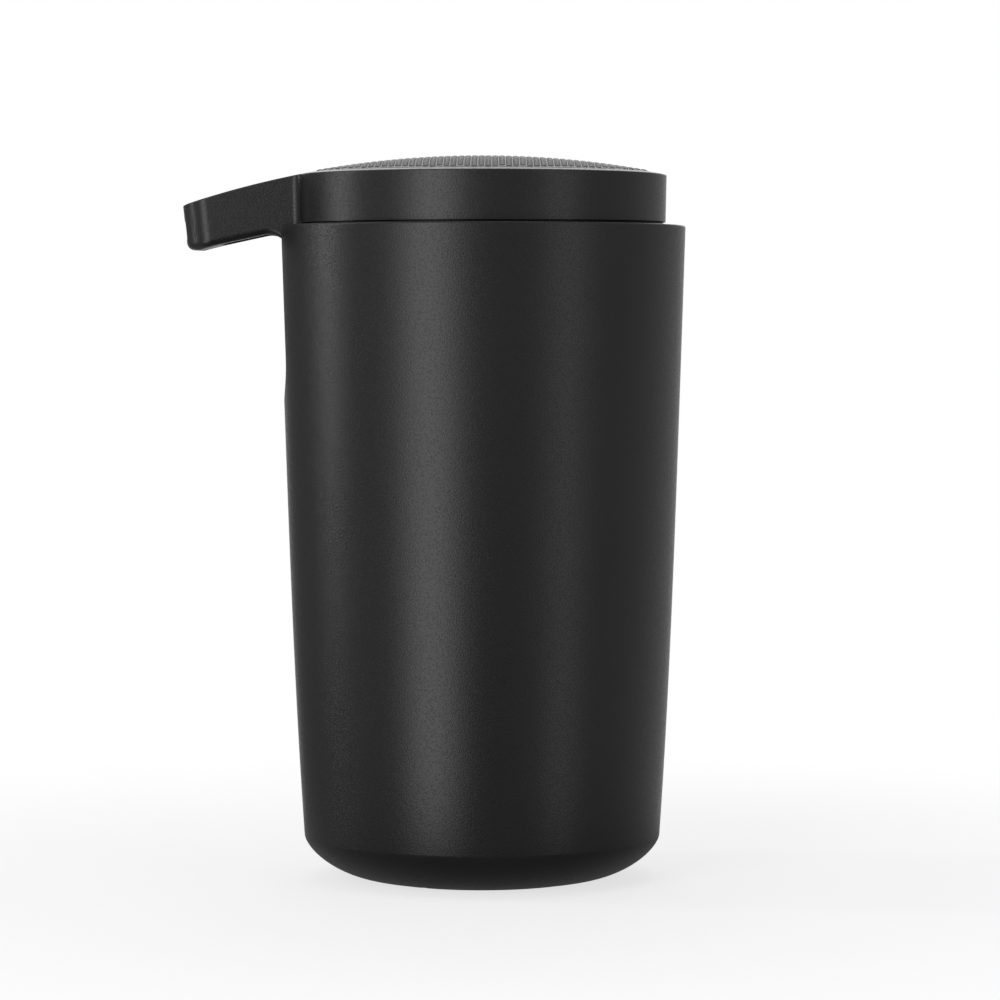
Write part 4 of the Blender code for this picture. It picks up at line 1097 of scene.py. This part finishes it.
# A mask of the world that is one value within a cone round a direction and another outside it.
def addCone(tree, way, direction, inner, outer, inside, outside):
    aside = addNode(tree, "ShaderNodeVectorMath", {0: way, 1: Vector(direction).normalized()},
                    operation="DOT_PRODUCT")
    near, far = (math.cos(math.radians(angle)) for angle in (inner, outer))
    return addRange(tree, aside.outputs["Value"], far, near, outside, inside)


# The world is a plain dim fill. Camera, glossy and transmitted rays see white: the first everywhere,
# the others in a cone behind the object, where the photograph's white background lies.
def makeWorld():
    world = bpy.data.worlds.new("studioWorld")
    bpy.context.scene.world = world
    world.use_nodes = True
    tree = world.node_tree
    background = tree.nodes["Background"]
    camera, mirrors = addRayMasks(tree)
    way = addNode(tree, "ShaderNodeTexCoord").outputs["Generated"]
    behind = addCone(tree, way, (0, 1, 0), *studio["backHalfAngle"], 1.0, 0.0)
    white = addMath(tree, "MAXIMUM", camera, addMath(tree, "MULTIPLY", mirrors, behind))
    fill = studio["fill"]
    for direction, inner, outer, level in studio["shades"].values():
        fill = addMath(tree, "MULTIPLY", fill, addCone(tree, way, direction, inner, outer, level, 1.0))
    background.inputs["Color"].default_value = (1, 1, 1, 1)
    tree.links.new(addRange(tree, white, 0.0, 1.0, fill, 1.0), background.inputs["Strength"])


# A light's power is its radiance times its area times pi, as a plain flat emitter gives.
def addLight(name, spot, way, width, height, radiance):
    lamp = bpy.data.lights.new(name, "AREA")
    lamp.shape = "RECTANGLE"
    lamp.size, lamp.size_y = width * mm, height * mm
    lamp.energy = radiance * math.pi * lamp.size * lamp.size_y
    light = newObject(name, lamp)
    light.location = spot * mm
    light.rotation_euler = way.to_track_quat("Z", "Y").to_euler()
    light.visible_camera = False


# Panels face the dispenser's axis from round about, and one more hangs above it.
def makeLights():
    for name, (azimuth, distance, width, low, high, radiance) in studio["panels"].items():
        turn = math.radians(azimuth)
        way = Vector((math.sin(turn), -math.cos(turn), 0))
        spot = way * distance + Vector((0, 0, (low + high) / 2))
        addLight(name, spot, way, width, high - low, radiance)
    up, size = Vector((0, 0, 1)), studio["topSize"]
    addLight("topBox", up * studio["topLevel"], up, size, size, studio["topRadiance"])


# The photograph's camera, in front of the dispenser and tilted down a little.
def makeCamera():
    lens = bpy.data.cameras.new("photoCamera")
    lens.lens, lens.sensor_width = studio["lens"], studio["sensor"]
    camera = newObject("photoCamera", lens)
    camera.location = Vector(studio["camera"]) * mm
    camera.rotation_euler = (math.radians(90 - studio["cameraPitch"]), 0, 0)
    bpy.context.scene.camera = camera


makeFloor()
makeWorld()
makeLights()
makeCamera()
bpy.context.scene.view_settings.view_transform = "Standard"
print("studio made")
